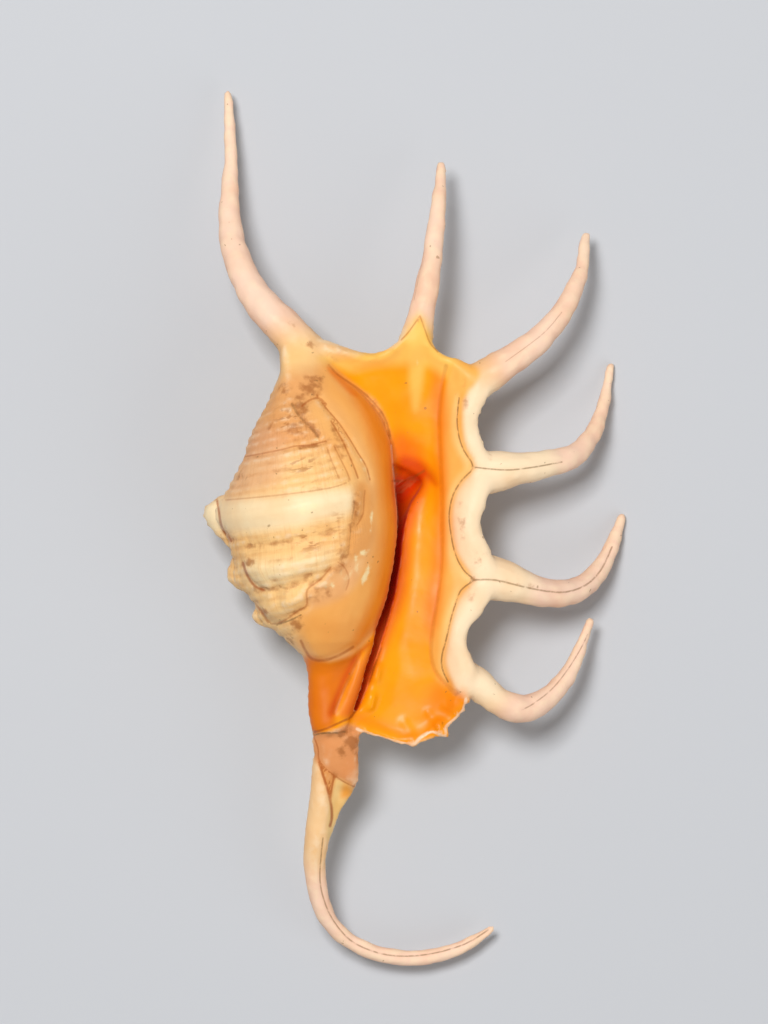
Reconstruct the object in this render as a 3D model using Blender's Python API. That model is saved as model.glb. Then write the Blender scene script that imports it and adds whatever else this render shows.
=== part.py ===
"""Orange spider conch shell, one solid that grew in one piece, lying on its back with the aperture up.

Sizes are in millimetres until a mesh is made in metres. +Y runs to the spire, +X to the outer lip and
+Z out of the aperture. The origin is at the middle of the bottom of the shell's box.
"""

import math

import bmesh
import bpy
from mathutils import Vector

MM = 0.001
FINE_VOXEL = 0.6
FUSED_VOXEL = 0.6
MOST_TRIANGLES = 9400
SMOOTH_ROUNDS = 4
SMOOTHING_LOSS = 0.15

# The coil's axis leans a little towards the outer lip on its way from the apex to the canal.
AXIS_TOP = (-22.0, 30.0)
AXIS_FOOT = (-14.2, -37.0)
AXIS_Z = 18.5

# The sutures between whorls, as the distance down from the point where the coil starts.
COIL_START_Y = 40.1
SUTURE_DISTANCE = 27.8
SUTURE_DEGREES = 180
WHORL_GROWTH = 1.44
# How much a whorl swells between its sutures, and sinks at the last one, as shares of its reach.
WHORL_SWELL = 0.07
SUTURE_SINK = 0.035
SUTURE_TURNS = 0.1

# Thickness of the last whorl's wall, of the outer lip's rim and of its broken edge by the canal.
WALL = 2.2
RIM_THICK = 3.4
EDGE_THICK = 1.4
# How far the last whorl starts inside the left edge of the whorl before it, and how much wider it
# stands where it turns up into the lip.
WHORL_OVERLAP = 0.6
LIP_FLARE = 0.06
# The cutter that opens the slit runs up to this height, clear of the shell.
CUTTER_TOP = 45.0

# Spire and the whorl seen left of the aperture. Each row is a place on Y, then the reach from the axis
# to the left, to the right, up and down.
BODY = [
    (33.5, 0.5, 2.0, 1.6, 1.6),
    (31.0, 0.8, 5.0, 3.2, 2.4),
    (28.6, 1.0, 7.4, 4.4, 3.4),
    (26.4, 1.2, 8.6, 5.8, 4.6),
    (23.3, 2.8, 11.6, 7.8, 6.2),
    (20.7, 4.4, 13.7, 9.5, 7.8),
    (18.2, 5.9, 15.0, 10.9, 9.0),
    (13.9, 8.4, 16.0, 12.7, 10.4),
    (9.7, 10.6, 15.9, 14.0, 11.0),
    (4.6, 13.4, 15.8, 14.8, 11.4),
    (2.0, 13.9, 15.7, 15.0, 11.4),
    (-2.2, 13.6, 15.1, 14.8, 11.0),
    (-5.6, 12.9, 14.3, 14.3, 10.4),
    (-9.0, 12.2, 13.3, 13.4, 9.5),
    (-12.4, 10.6, 12.1, 12.2, 8.5),
    (-15.8, 8.6, 10.5, 10.5, 7.0),
    (-19.2, 5.6, 8.2, 8.2, 5.5),
    (-21.8, 3.2, 6.2, 5.4, 4.8),
    (-23.6, 2.7, 5.2, 3.0, 4.4),
    (-26.2, 2.7, 4.2, 2.4, 4.0),
    (-31.1, 3.2, 3.2, 2.4, 3.8),
    (-35.0, 3.0, 2.6, 2.6, 3.4),
]

# Last whorl and outer lip. Each row is its number on the way from the posterior digit round to the
# canal, the whorl's place on Y at its left edge, its reach down to the back, then as X, Y, Z the inner
# edge, the crease where the glaze stops, and the rim.
LIP = [
    (0.0, 12.2, 10.0, (-16.6, 27.6, 20.0), (-15.8, 30.0, 20.6), (-16.2, 32.2, 19.6)),
    (0.5, 12.0, 10.6, (-13.6, 26.4, 19.2), (-11.5, 29.0, 19.4), (-11.4, 30.8, 19.2)),
    (1.0, 11.4, 12.0, (-11.6, 25.0, 18.2), (-7.6, 27.8, 18.0), (-7.4, 29.7, 18.4)),
    (1.5, 10.6, 13.2, (-10.2, 24.0, 17.8), (-4.2, 28.8, 17.8), (-4.0, 31.0, 18.5)),
    (2.0, 9.0, 14.2, (-8.6, 22.8, 17.5), (-0.2, 31.4, 18.0), (0.6, 33.6, 18.8)),
    (2.5, 7.6, 14.6, (-7.5, 21.3, 17.3), (3.2, 28.2, 17.5), (4.5, 29.7, 18.4)),
    (3.0, 5.6, 14.8, (-6.3, 19.6, 17.1), (5.3, 26.4, 17.3), (8.3, 28.4, 18.5)),
    (4.0, 1.8, 15.2, (-5.0, 16.8, 16.8), (4.3, 23.6, 17.0), (12.8, 24.2, 18.8)),
    (5.0, -3.6, 15.4, (-4.1, 13.6, 16.2), (3.9, 18.2, 16.8), (10.9, 18.4, 19.0)),
    (5.5, -6.4, 15.5, (-2.6, 10.4, 15.2), (4.1, 13.1, 16.8), (11.7, 14.0, 19.0)),
    (6.0, -9.0, 15.5, (1.4, 7.9, 14.5), (4.4, 8.8, 17.0), (13.6, 9.4, 19.0)),
    (6.5, -10.8, 15.2, (-0.5, 4.4, 15.2), (4.5, 4.4, 17.0), (12.3, 4.4, 19.0)),
    (7.0, -12.5, 14.6, (-1.8, 0.9, 16.0), (4.6, 0.3, 17.0), (11.3, 0.3, 19.0)),
    (7.5, -14.2, 14.0, (-2.4, -3.4, 16.3), (4.5, -3.8, 17.1), (12.8, -3.7, 19.1)),
    (8.0, -15.8, 13.4, (-2.8, -7.0, 16.5), (4.4, -7.8, 17.2), (14.4, -8.6, 19.1)),
    (8.5, -17.2, 12.6, (-3.4, -10.7, 16.8), (3.8, -12.0, 17.3), (12.4, -13.2, 19.1)),
    (9.0, -18.6, 11.6, (-4.3, -14.1, 17.0), (3.1, -15.8, 17.3), (9.4, -17.0, 19.2)),
    (9.5, -19.9, 10.6, (-5.1, -17.2, 17.0), (2.7, -19.0, 17.3), (9.0, -20.2, 19.1)),
    (10.0, -21.2, 9.6, (-5.8, -19.2, 17.0), (2.9, -21.8, 17.3), (10.8, -24.6, 18.9)),
    (10.5, -22.4, 8.8, (-6.3, -20.8, 17.1), (3.9, -24.4, 17.3), (9.9, -27.8, 18.6)),
    (11.0, -23.6, 8.2, (-6.8, -22.3, 17.2), (4.8, -26.4, 17.3), (8.9, -29.4, 18.3)),
    (12.0, -26.0, 7.0, (-7.7, -25.0, 17.4), (5.3, -30.4, 17.0), (7.4, -32.4, 17.8)),
    (13.0, -28.6, 6.2, (-8.3, -27.4, 17.6), (2.2, -33.2, 16.8), (4.5, -35.4, 17.8)),
    (14.0, -30.8, 5.6, (-9.2, -29.4, 17.8), (-2.5, -34.7, 16.8), (-0.6, -37.1, 17.8)),
    (15.0, -32.8, 5.0, (-9.9, -31.1, 18.0), (-6.0, -34.2, 17.0), (-5.4, -36.1, 17.8)),
    (16.0, -34.5, 4.6, (-10.7, -32.5, 18.4), (-9.0, -33.5, 17.6), (-9.4, -34.9, 18.2)),
]
FIRST_OPEN_ROW = 5.75
LAST_OPEN_ROW = 15.2
THIN_ROW = 10.5

# A rib runs over the back to each digit of the outer lip, on these rows.
RIB_ROWS = (2, 4, 6, 8, 10)
RIB_HEIGHT = 1.0
RIB_WIDTH = 0.42

# Digits, from inside the shell to the tip, each point as X, Y, Z and the radius there.
DIGITS = {
    "posterior": [
        (-15.5, 25.0, 16.5, 3.6),
        (-19.2, 30.6, 18.0, 3.4),
        (-22.6, 34.3, 18.0, 3.1),
        (-26.0, 37.9, 16.8, 2.8),
        (-28.8, 42.2, 14.8, 2.5),
        (-31.0, 48.0, 12.2, 2.2),
        (-31.7, 54.2, 9.5, 1.75),
        (-31.5, 61.9, 6.8, 1.25),
        (-31.8, 69.8, 4.6, 0.95),
        (-32.1, 74.6, 3.4, 0.65),
    ],
    "second": [
        (-3.5, 22.5, 12.6, 1.4),
        (-1.2, 28.0, 14.6, 2.6),
        (0.2, 32.2, 16.1, 2.7),
        (1.0, 35.9, 16.6, 2.2),
        (1.8, 40.0, 16.0, 2.1),
        (2.7, 44.9, 14.8, 1.75),
        (3.5, 50.9, 12.8, 1.5),
        (4.2, 56.6, 10.6, 1.15),
        (4.5, 62.1, 8.0, 0.75),
    ],
    "third": [
        (0.5, 19.6, 13.0, 1.2),
        (5.0, 22.0, 14.4, 2.3),
        (9.0, 24.1, 15.4, 3.2),
        (12.8, 26.1, 16.2, 2.9),
        (17.0, 28.9, 16.2, 2.5),
        (21.1, 32.0, 15.4, 2.15),
        (24.5, 35.9, 13.6, 1.85),
        (27.0, 40.1, 11.3, 1.6),
        (28.5, 44.3, 8.8, 1.25),
        (29.3, 50.1, 5.4, 0.8),
    ],
    "fourth": [
        (2.0, 8.4, 12.8, 1.2),
        (6.2, 8.8, 14.4, 2.8),
        (10.5, 9.2, 15.2, 3.7),
        (14.8, 9.7, 16.0, 3.3),
        (19.0, 10.2, 15.5, 2.6),
        (23.0, 10.9, 13.8, 2.25),
        (27.0, 12.2, 11.2, 2.0),
        (29.9, 15.2, 7.8, 1.6),
        (31.7, 18.9, 4.8, 1.3),
        (32.8, 22.9, 2.3, 1.0),
        (33.8, 27.9, 0.55, 0.65),
    ],
    "fifth": [
        (1.0, -7.3, 14.0, 1.2),
        (6.2, -7.8, 14.5, 2.9),
        (10.8, -8.2, 15.2, 3.9),
        (15.6, -9.2, 15.6, 3.4),
        (19.6, -10.5, 14.6, 2.6),
        (23.6, -11.3, 12.4, 2.35),
        (27.8, -10.6, 9.2, 2.05),
        (31.0, -8.1, 6.0, 1.7),
        (33.3, -4.6, 3.4, 1.35),
        (34.8, -0.7, 1.5, 1.0),
        (35.8, 2.0, 0.6, 0.7),
    ],
    "sixth": [
        (-0.5, -20.4, 14.2, 1.2),
        (3.8, -23.0, 14.8, 2.2),
        (7.4, -24.8, 15.5, 2.9),
        (10.9, -26.7, 15.8, 2.6),
        (13.9, -29.4, 15.4, 2.3),
        (17.2, -30.8, 14.4, 2.45),
        (20.8, -30.2, 12.8, 2.15),
        (24.1, -27.6, 11.0, 1.7),
        (26.6, -24.4, 9.2, 1.4),
        (28.3, -20.7, 7.4, 1.05),
        (30.1, -15.8, 5.4, 0.65),
    ],
    "canal": [
        (-13.6, -34.0, 16.4, 3.0),
        (-15.4, -41.5, 15.2, 2.0),
        (-15.8, -46.0, 14.2, 2.1),
        (-16.5, -51.2, 13.0, 2.1),
        (-17.1, -56.5, 11.4, 1.9),
        (-16.8, -61.0, 10.0, 1.7),
        (-15.7, -65.3, 8.6, 1.5),
        (-13.2, -69.2, 7.2, 1.4),
        (-8.9, -72.1, 5.9, 1.35),
        (-4.1, -73.6, 5.0, 1.3),
        (1.0, -73.8, 4.4, 1.3),
        (6.1, -72.8, 4.0, 1.2),
        (9.9, -71.0, 3.8, 1.0),
        (13.3, -68.8, 3.8, 0.65),
    ],
}

# Small points that the broken lip leaves between the sixth digit and the canal.
LIP_POINTS = {
    "point_by_sixth_digit": [(6.4, -29.4, 17.0, 1.1), (7.3, -30.4, 17.2, 0.9), (8.0, -31.2, 17.4, 0.55)],
    "point_by_canal": [(3.6, -33.2, 17.0, 1.1), (4.5, -34.2, 17.2, 0.9), (5.0, -34.9, 17.4, 0.55)],
}

# The fold at the foot of the column, from under the last whorl but one to the canal.
FOLD = [
    (-7.6, -13.0, 18.0, 1.2),
    (-8.4, -18.0, 19.0, 1.6),
    (-9.7, -22.6, 19.2, 1.6),
    (-10.8, -27.0, 19.2, 1.5),
    (-12.0, -31.0, 19.1, 1.4),
    (-13.0, -34.0, 18.9, 1.2),
]

# Two flattened walls below the aperture: the one that folds over the canal, and the flange under it.
# Each row is X, Y, Z and the half widths across and deep.
CANAL_WALL = [
    (-13.3, -32.0, 15.4, 3.4, 2.4),
    (-13.5, -35.6, 16.8, 4.1, 2.4),
    (-13.3, -39.0, 16.2, 3.7, 2.1),
    (-13.0, -41.5, 15.6, 3.5, 1.6),
    (-12.0, -43.4, 15.0, 2.4, 1.1),
    (-11.4, -44.4, 14.6, 1.4, 0.7),
]
FLANGE = [
    (-13.0, -39.0, 14.0, 3.0, 1.1),
    (-12.4, -42.4, 13.6, 2.6, 1.1),
    (-12.5, -45.4, 13.2, 2.0, 1.1),
    (-13.4, -47.2, 12.8, 1.6, 1.0),
    (-14.2, -49.0, 12.5, 1.4, 1.0),
    (-14.9, -51.2, 12.1, 1.3, 0.9),
    (-15.2, -52.7, 11.7, 1.0, 0.8),
]
# The open groove of the canal, between its left strand and the flange.
GROOVE = [
    (-15.6, -39.0, 15.9, 0.5),
    (-14.9, -43.0, 15.2, 0.9),
    (-14.4, -46.2, 14.6, 0.9),
    (-14.2, -48.6, 14.1, 0.5),
]

# Knobs on the shoulder and on the two ridges below it: row on the lip, angle round the axis, height
# and radius. The tallest on the back are what the shell rests on.
KNOBS = [
    (4.0, 201, 5.4, 3.9),
    (4.0, 230, 2.8, 3.2),
    (4.0, 260, 5.2, 3.8),
    (4.0, 296, 3.8, 4.6),
    (6.0, 201, 3.9, 3.0),
    (6.0, 232, 2.0, 2.8),
    (6.0, 260, 5.0, 3.6),
    (6.0, 294, 2.9, 4.0),
    (8.0, 201, 3.6, 2.8),
    (8.0, 234, 1.6, 2.6),
    (8.0, 264, 1.8, 3.2),
    (8.0, 292, 1.2, 3.6),
    (10.0, 206, 0.8, 1.9),
]
ROW_SPACING = 3.4
FRONT_KNOBS = [
    (2.2, 176, 1.3, 3.2),
    (-8.8, 174, 1.2, 2.6),
    (-15.8, 176, 1.0, 2.2),
]


def clamp(value):
    """A value held between 0 and 1."""
    return min(max(value, 0.0), 1.0)


def between(a, b, share):
    """The point at this share of the way from a to b."""
    return Vector(a).lerp(Vector(b), share)


def spline(p0, p1, p2, p3, share):
    """Catmull-Rom between p1 and p2, number by number."""
    read = []
    for a, b, c, d in zip(p0, p1, p2, p3):
        slope = (c - a) * share
        bend = (2 * a - 5 * b + 4 * c - d) * share**2
        turn = (3 * b - a - 3 * c + d) * share**3
        read.append(b + 0.5 * (slope + bend + turn))
    return read


def along(points, place):
    """A smooth open curve through the points, read at a place from 0 to the last one's number."""
    i = min(max(int(place), 0), len(points) - 2)
    before, after = points[max(i - 1, 0)], points[min(i + 2, len(points) - 1)]
    return spline(before, points[i], points[i + 1], after, place - i)


def around(points, share):
    """A smooth closed curve through the points, read at a share of one turn."""
    place = share * len(points)
    i = int(place)
    near = [points[(i + k) % len(points)] for k in (-1, 0, 1, 2)]
    return Vector(spline(*near, place - i))


def read_rows(rows, key):
    """The rest of a row at this key, read between rows sorted by their first number."""
    rising = rows[-1][0] > rows[0][0]
    last = len(rows) - 2
    i = 0
    while i < last and (key > rows[i + 1][0] if rising else key < rows[i + 1][0]):
        i += 1
    share = (key - rows[i][0]) / (rows[i + 1][0] - rows[i][0])
    return along(rows, i + clamp(share))[1:]


def axis_x(y):
    """Where the coil's axis crosses a plane of constant Y."""
    share = (AXIS_TOP[1] - y) / (AXIS_TOP[1] - AXIS_FOOT[1])
    return AXIS_TOP[0] + share * (AXIS_FOOT[0] - AXIS_TOP[0])


def knob_shape(distance, radius):
    """A blunt knob's height at a distance from its middle, as a share of its full height."""
    return max(0.0, 1.0 - (distance / radius) ** 2) ** 1.3


def whorl_step(y, degrees):
    """How much the spire swells between two sutures and sinks at them, as a share of its reach."""
    turns = math.log((COIL_START_Y - y) / SUTURE_DISTANCE) / math.log(WHORL_GROWTH)
    turns -= (degrees - SUTURE_DEGREES) / 360
    part = turns - math.floor(turns)
    if turns >= 0:
        return -SUTURE_SINK * math.exp(-((turns / SUTURE_TURNS) ** 2))
    return WHORL_SWELL * (math.sin(math.pi * part) - 0.5)


LIP_ROWS = [(number, y, reach, *inner, *crease, *rim) for number, y, reach, inner, crease, rim in LIP]


def lip_row(place):
    """One row of LIP, read between rows."""
    found = read_rows(LIP_ROWS, place)
    return found[0], found[1], Vector(found[2:5]), Vector(found[5:8]), Vector(found[8:11])


def rib(place):
    """The height of the ribs that run over the back to the digits."""
    return RIB_HEIGHT * sum(math.exp(-(((place - row) / RIB_WIDTH) ** 2)) for row in RIB_ROWS)


def whorl_reach(place, degrees, reach, y):
    """How far the last whorl stands from the axis, on its left, back and right."""
    left = read_rows(BODY, y)[0] - WHORL_OVERLAP
    angle = math.radians(min(degrees, 270))
    base = left * reach / math.hypot(reach * math.cos(angle), left * math.sin(angle))
    base += LIP_FLARE * reach * max(0.0, (degrees - 270) / 50)
    base += rib(place) * clamp((degrees - 230) / 60)
    for knob_row, knob_degrees, height, radius in KNOBS:
        across = (degrees - knob_degrees) * math.radians(base)
        base += height * knob_shape(math.hypot(across, (place - knob_row) * ROW_SPACING), radius)
    return base


def whorl_point(place, degrees, inset, y_share):
    """A point on the last whorl's outer wall, moved in by inset."""
    hump_y, reach, _, crease, _ = lip_row(place)
    y = hump_y + (crease.y - hump_y) * y_share
    r = whorl_reach(place, degrees, reach, min(y, BODY[0][0])) - inset
    angle = math.radians(degrees)
    return Vector((axis_x(y) + r * math.cos(angle), y, AXIS_Z + r * math.sin(angle)))


# Angles at which the section of the last whorl is read, and how far each has moved up the spire.
WHORL_STEPS = [
    (316, 0.58),
    (300, 0.46),
    (284, 0.36),
    (268, 0.27),
    (252, 0.20),
    (236, 0.13),
    (220, 0.08),
    (204, 0.03),
    (188, 0.00),
]


def lip_loop(place):
    """The closed section of the last whorl and outer lip: over the lip, round its rim and back under."""
    _, _, inner, crease, rim = lip_row(place)
    thin = clamp(place - THIN_ROW)
    thick = RIM_THICK + (EDGE_THICK - RIM_THICK) * thin
    out = (rim - crease).normalized()
    swell = rib(place) * (1 - thin)
    back = [whorl_point(place, degrees, 0.0, share) for degrees, share in WHORL_STEPS]
    return [
        inner + Vector((-5.0, 0.0, -1.5)),
        inner,
        between(inner, crease, 0.33) + Vector((0, 0, -0.7)),
        between(inner, crease, 0.7) + Vector((0, 0, -0.4)),
        crease,
        between(crease, rim, 0.5) + Vector((0, 0, 0.9 * (1 - thin))),
        rim + Vector((0, 0, 0.2 * thick)) - out * 0.45 * thick,
        rim + Vector((0, 0, -0.25 * thick)),
        rim + Vector((0, 0, -0.8 * thick)) - out * 0.5 * thick,
        between(crease, rim, 0.35) + Vector((0, 0, -1.0 - thick * 0.8 - swell)),
        between(inner, crease, 0.75) + Vector((0, 0, -1.6 - thick * 0.75 - swell)),
        *back,
        Vector((axis_x(back[-1].y) - 1.0, back[-1].y, AXIS_Z)),
    ]


def hollow_loop(place):
    """The closed section of the hollow inside the last whorl, with its way out through the slit."""
    _, _, inner, _, _ = lip_row(place)
    back = [whorl_point(place, degrees, WALL, share) for degrees, share in WHORL_STEPS[:-1]]
    return [
        Vector((inner.x - 5.0, inner.y, CUTTER_TOP)),
        Vector((inner.x - 2.5, inner.y, CUTTER_TOP)),
        Vector((inner.x, inner.y, CUTTER_TOP)),
        Vector((inner.x, inner.y, 0.5 * (CUTTER_TOP + inner.z))),
        inner + Vector((0.0, 0.0, -1.0)),
        between(inner, back[0], 0.5) + Vector((0.2, 0, -1.0)),
        *back,
        Vector((axis_x(back[-1].y) - 4.0, back[-1].y, AXIS_Z)),
        Vector((axis_x(inner.y) + 1.0, inner.y, AXIS_Z + 4.0)),
    ]


def body_point(y, share):
    """A point on the spire and last whorl but one, at this share of a turn round the axis."""
    left, right, up, down = read_rows(BODY, y)
    degrees = 360 * share
    x, z = math.cos(math.radians(degrees)), math.sin(math.radians(degrees))
    grow = 0.0
    for knob_y, knob_degrees, height, radius in FRONT_KNOBS:
        across = (degrees - knob_degrees) * math.radians(left)
        grow += height * knob_shape(math.hypot(across, y - knob_y), radius)
    swell = 1.0 + whorl_step(y, degrees) * clamp((degrees - 60) / 30) * clamp((345 - degrees) / 30)
    return Vector((
        axis_x(y) + x * ((right if x > 0 else left) * swell + grow),
        y,
        AXIS_Z + z * ((up if z > 0 else down) * swell + grow),
    ))


def object_from(name, shape):
    """Links a new object made from a bmesh."""
    mesh = bpy.data.meshes.new(name)
    shape.to_mesh(mesh)
    shape.free()
    made = bpy.data.objects.new(name, mesh)
    bpy.context.scene.collection.objects.link(made)
    return made


def ring_surface(name, loops):
    """A closed object from a list of loops of points: a grid rolled into a tube, with both ends filled."""
    rings, sides = len(loops), len(loops[0])
    shape = bmesh.new()
    bmesh.ops.create_grid(shape, x_segments=rings - 1, y_segments=sides, size=0.5)
    for vertex in shape.verts:
        i = round((vertex.co.x + 0.5) * (rings - 1))
        j = round((vertex.co.y + 0.5) * sides)
        vertex.co = loops[i][j % sides] * MM
    bmesh.ops.remove_doubles(shape, verts=shape.verts, dist=1e-7)
    ends = [edge for edge in shape.edges if edge.is_boundary]
    filled = bmesh.ops.holes_fill(shape, edges=ends)["faces"]
    bmesh.ops.triangulate(shape, faces=filled)
    bmesh.ops.recalc_face_normals(shape, faces=shape.faces)
    return object_from(name, shape)


def make_body():
    """Spire and last whorl but one."""
    top, foot, rings, sides = BODY[0][0], BODY[-1][0], 131, 120
    loops = []
    for i in range(rings):
        y = top + (foot - top) * i / (rings - 1)
        loops.append([body_point(y, j / sides) for j in range(sides)])
    return ring_surface("body", loops)


def make_lip():
    """Last whorl and outer lip, still filled."""
    rings, sides = 193, 120
    loops = []
    for i in range(rings):
        points = lip_loop(LIP[-1][0] * i / (rings - 1))
        loops.append([around(points, j / sides) for j in range(sides)])
    return ring_surface("lip", loops)


def make_hollow():
    """The cutter that opens the last whorl and the slit."""
    rings, sides = 81, 96
    loops = []
    for i in range(rings):
        points = hollow_loop(FIRST_OPEN_ROW + (LAST_OPEN_ROW - FIRST_OPEN_ROW) * i / (rings - 1))
        loops.append([around(points, j / sides) for j in range(sides)])
    return ring_surface("hollow", loops)


def make_flat_tube(name, rows):
    """A flattened tube through rows of X, Y, Z and the half widths across and deep."""
    rings, sides = 6 * len(rows), 32
    loops = []
    for i in range(rings):
        x, y, z, wide, deep = along(rows, (len(rows) - 1) * i / (rings - 1))
        turns = [2 * math.pi * j / sides for j in range(sides)]
        loops.append([Vector((x + wide * math.cos(a), y, z + deep * math.sin(a))) for a in turns])
    return ring_surface(name, loops)


def make_tube(name, points, samples_per_point=5):
    """A tapered tube with a rounded tip, through points of X, Y, Z and radius."""
    curve = bpy.data.curves.new(name, "CURVE")
    curve.dimensions = "3D"
    curve.bevel_depth = MM
    curve.bevel_resolution = 4
    curve.use_fill_caps = True
    count = samples_per_point * (len(points) - 1)
    read = [along(points, (len(points) - 1) * i / count) for i in range(count + 1)]
    tip = Vector(read[-1][:3])
    heading = (tip - Vector(read[-2][:3])).normalized()
    radius = read[-1][3]
    for angle in (30, 60, 84):
        ahead = tip + heading * radius * math.sin(math.radians(angle))
        read.append([*ahead, radius * math.cos(math.radians(angle))])
    line = curve.splines.new("POLY")
    line.points.add(len(read) - 1)
    for point, (x, y, z, r) in zip(line.points, read):
        point.co = (x * MM, y * MM, z * MM, 1)
        point.radius = r + SMOOTHING_LOSS
    made = bpy.data.objects.new(name, curve)
    bpy.context.scene.collection.objects.link(made)
    return made


def evaluated(made):
    """Replaces an object by a mesh object with its modifiers applied."""
    graph = bpy.context.evaluated_depsgraph_get()
    mesh = bpy.data.meshes.new_from_object(made.evaluated_get(graph))
    name = made.name
    bpy.data.objects.remove(made)
    solid = bpy.data.objects.new(name, mesh)
    bpy.context.scene.collection.objects.link(solid)
    return solid


def remesh(made, voxel):
    """Makes overlapping shapes one skin of even faces."""
    modifier = made.modifiers.new("one_skin", "REMESH")
    modifier.mode = "VOXEL"
    modifier.voxel_size = voxel * MM
    return evaluated(made)


def cut_away(made, cutter):
    """Takes the cutter out of the object, and removes the cutter."""
    cut = made.modifiers.new("cut", "BOOLEAN")
    cut.operation = "DIFFERENCE"
    cut.solver = "EXACT"
    cut.object = cutter
    rest = evaluated(made)
    bpy.data.objects.remove(cutter)
    return rest


def join(name, objects):
    """One object that holds the shapes of all these."""
    shape = bmesh.new()
    for made in objects:
        solid = evaluated(made)
        shape.from_mesh(solid.data)
        bpy.data.objects.remove(solid)
    return object_from(name, shape)


def keep_largest(made):
    """Drops loose crumbs and inner skins."""
    shape = bmesh.new()
    shape.from_mesh(made.data)
    unseen, islands = set(shape.verts), []
    while unseen:
        island, front = set(), [next(iter(unseen))]
        while front:
            vertex = front.pop()
            if vertex in island:
                continue
            island.add(vertex)
            front.extend(edge.other_vert(vertex) for edge in vertex.link_edges)
        unseen -= island
        islands.append(island)
    islands.sort(key=len)
    crumbs = [vertex for island in islands[:-1] for vertex in island]
    bmesh.ops.delete(shape, geom=crumbs, context="VERTS")
    shape.to_mesh(made.data)
    shape.free()


def wear_flat(made):
    """Wears the tallest knobs on the back flat, where the shell rests."""
    shape = bmesh.new()
    shape.from_mesh(made.data)
    geometry = [*shape.verts, *shape.edges, *shape.faces]
    bmesh.ops.bisect_plane(shape, geom=geometry, plane_co=(0, 0, 0), plane_no=(0, 0, -1), clear_outer=True)
    bmesh.ops.holes_fill(shape, edges=[edge for edge in shape.edges if edge.is_boundary])
    bmesh.ops.triangulate(shape, faces=shape.faces)
    shape.to_mesh(made.data)
    shape.free()


def centre(made):
    """Moves the middle of the mesh's box onto the Z axis."""
    xs = [vertex.co.x for vertex in made.data.vertices]
    ys = [vertex.co.y for vertex in made.data.vertices]
    middle = Vector((min(xs) + max(xs), min(ys) + max(ys), 0.0)) / 2
    for vertex in made.data.vertices:
        vertex.co -= middle


def shell_material():
    """Cream shell with an orange glaze, as one middle colour."""
    material = bpy.data.materials.new("shell")
    material.use_nodes = True
    shader = material.node_tree.nodes["Principled BSDF"]
    shader.inputs["Base Color"].default_value = (0.92, 0.52, 0.2, 1)
    shader.inputs["Roughness"].default_value = 0.35
    shader.inputs["Metallic"].default_value = 0.0
    return material


def main():
    """Builds the one solid."""
    for old in list(bpy.data.objects):
        bpy.data.objects.remove(old)
    lip = cut_away(remesh(make_lip(), FINE_VOXEL), remesh(make_hollow(), FINE_VOXEL))
    tubes = [make_tube(name, points) for name, points in {**DIGITS, **LIP_POINTS}.items()]
    walls = [make_flat_tube("canal_wall", CANAL_WALL), make_flat_tube("flange", FLANGE)]
    shell = join("shell", [lip, make_body(), make_tube("fold", FOLD), *walls, *tubes])
    shell = remesh(shell, FUSED_VOXEL)
    shell = cut_away(shell, make_tube("groove", GROOVE))
    keep_largest(shell)
    soften = shell.modifiers.new("soften", "SMOOTH")
    soften.factor = 0.5
    soften.iterations = SMOOTH_ROUNDS
    shell = evaluated(shell)
    triangles = sum(len(face.vertices) - 2 for face in shell.data.polygons)
    thin_out = shell.modifiers.new("thin_out", "DECIMATE")
    thin_out.ratio = MOST_TRIANGLES / triangles
    thin_out.use_collapse_triangulate = True
    shell = evaluated(shell)
    wear_flat(shell)
    centre(shell)
    shell.data.materials.clear()
    shell.data.materials.append(shell_material())
    shell.data.shade_smooth()


main()
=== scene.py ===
"""Dresses one orange spider conch shell: its fine skin, its glaze, seams and stains, and the studio round it.

Places on the shell are given in the photograph's pixels, which PhotoView turns into places in the frame.
Sizes are in millimetres unless a name says otherwise. A pair of values that eases a share says where the
share is 0 and where it is 1.
"""

import logging
import math
from dataclasses import dataclass, field
from enum import Enum

import bmesh
import bpy
import numpy as np
from mathutils import Matrix, Vector
from mathutils.bvhtree import BVHTree


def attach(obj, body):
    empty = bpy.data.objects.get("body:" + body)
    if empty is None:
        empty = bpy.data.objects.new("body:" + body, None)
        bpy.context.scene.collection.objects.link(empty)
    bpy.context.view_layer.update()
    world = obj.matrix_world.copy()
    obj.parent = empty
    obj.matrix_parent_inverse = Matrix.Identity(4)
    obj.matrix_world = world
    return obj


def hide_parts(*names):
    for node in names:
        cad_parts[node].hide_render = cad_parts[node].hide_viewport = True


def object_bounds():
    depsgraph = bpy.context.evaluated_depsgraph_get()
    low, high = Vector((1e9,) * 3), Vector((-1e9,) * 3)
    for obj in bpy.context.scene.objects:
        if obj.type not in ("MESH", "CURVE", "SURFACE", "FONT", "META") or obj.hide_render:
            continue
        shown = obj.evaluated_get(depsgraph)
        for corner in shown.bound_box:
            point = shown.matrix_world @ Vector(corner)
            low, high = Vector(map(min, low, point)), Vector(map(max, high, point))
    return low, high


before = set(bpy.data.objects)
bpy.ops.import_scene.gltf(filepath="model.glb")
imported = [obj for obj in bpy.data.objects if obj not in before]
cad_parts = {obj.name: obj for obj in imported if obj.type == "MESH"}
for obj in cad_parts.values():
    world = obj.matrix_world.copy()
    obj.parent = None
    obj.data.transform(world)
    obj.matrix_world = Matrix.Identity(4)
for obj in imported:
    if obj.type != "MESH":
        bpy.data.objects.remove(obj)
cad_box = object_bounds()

MM = 0.001
log = logging.getLogger("spider_conch")

Colour = tuple[float, float, float]
Place = tuple[float, float]
Socket = bpy.types.NodeSocket


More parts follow.
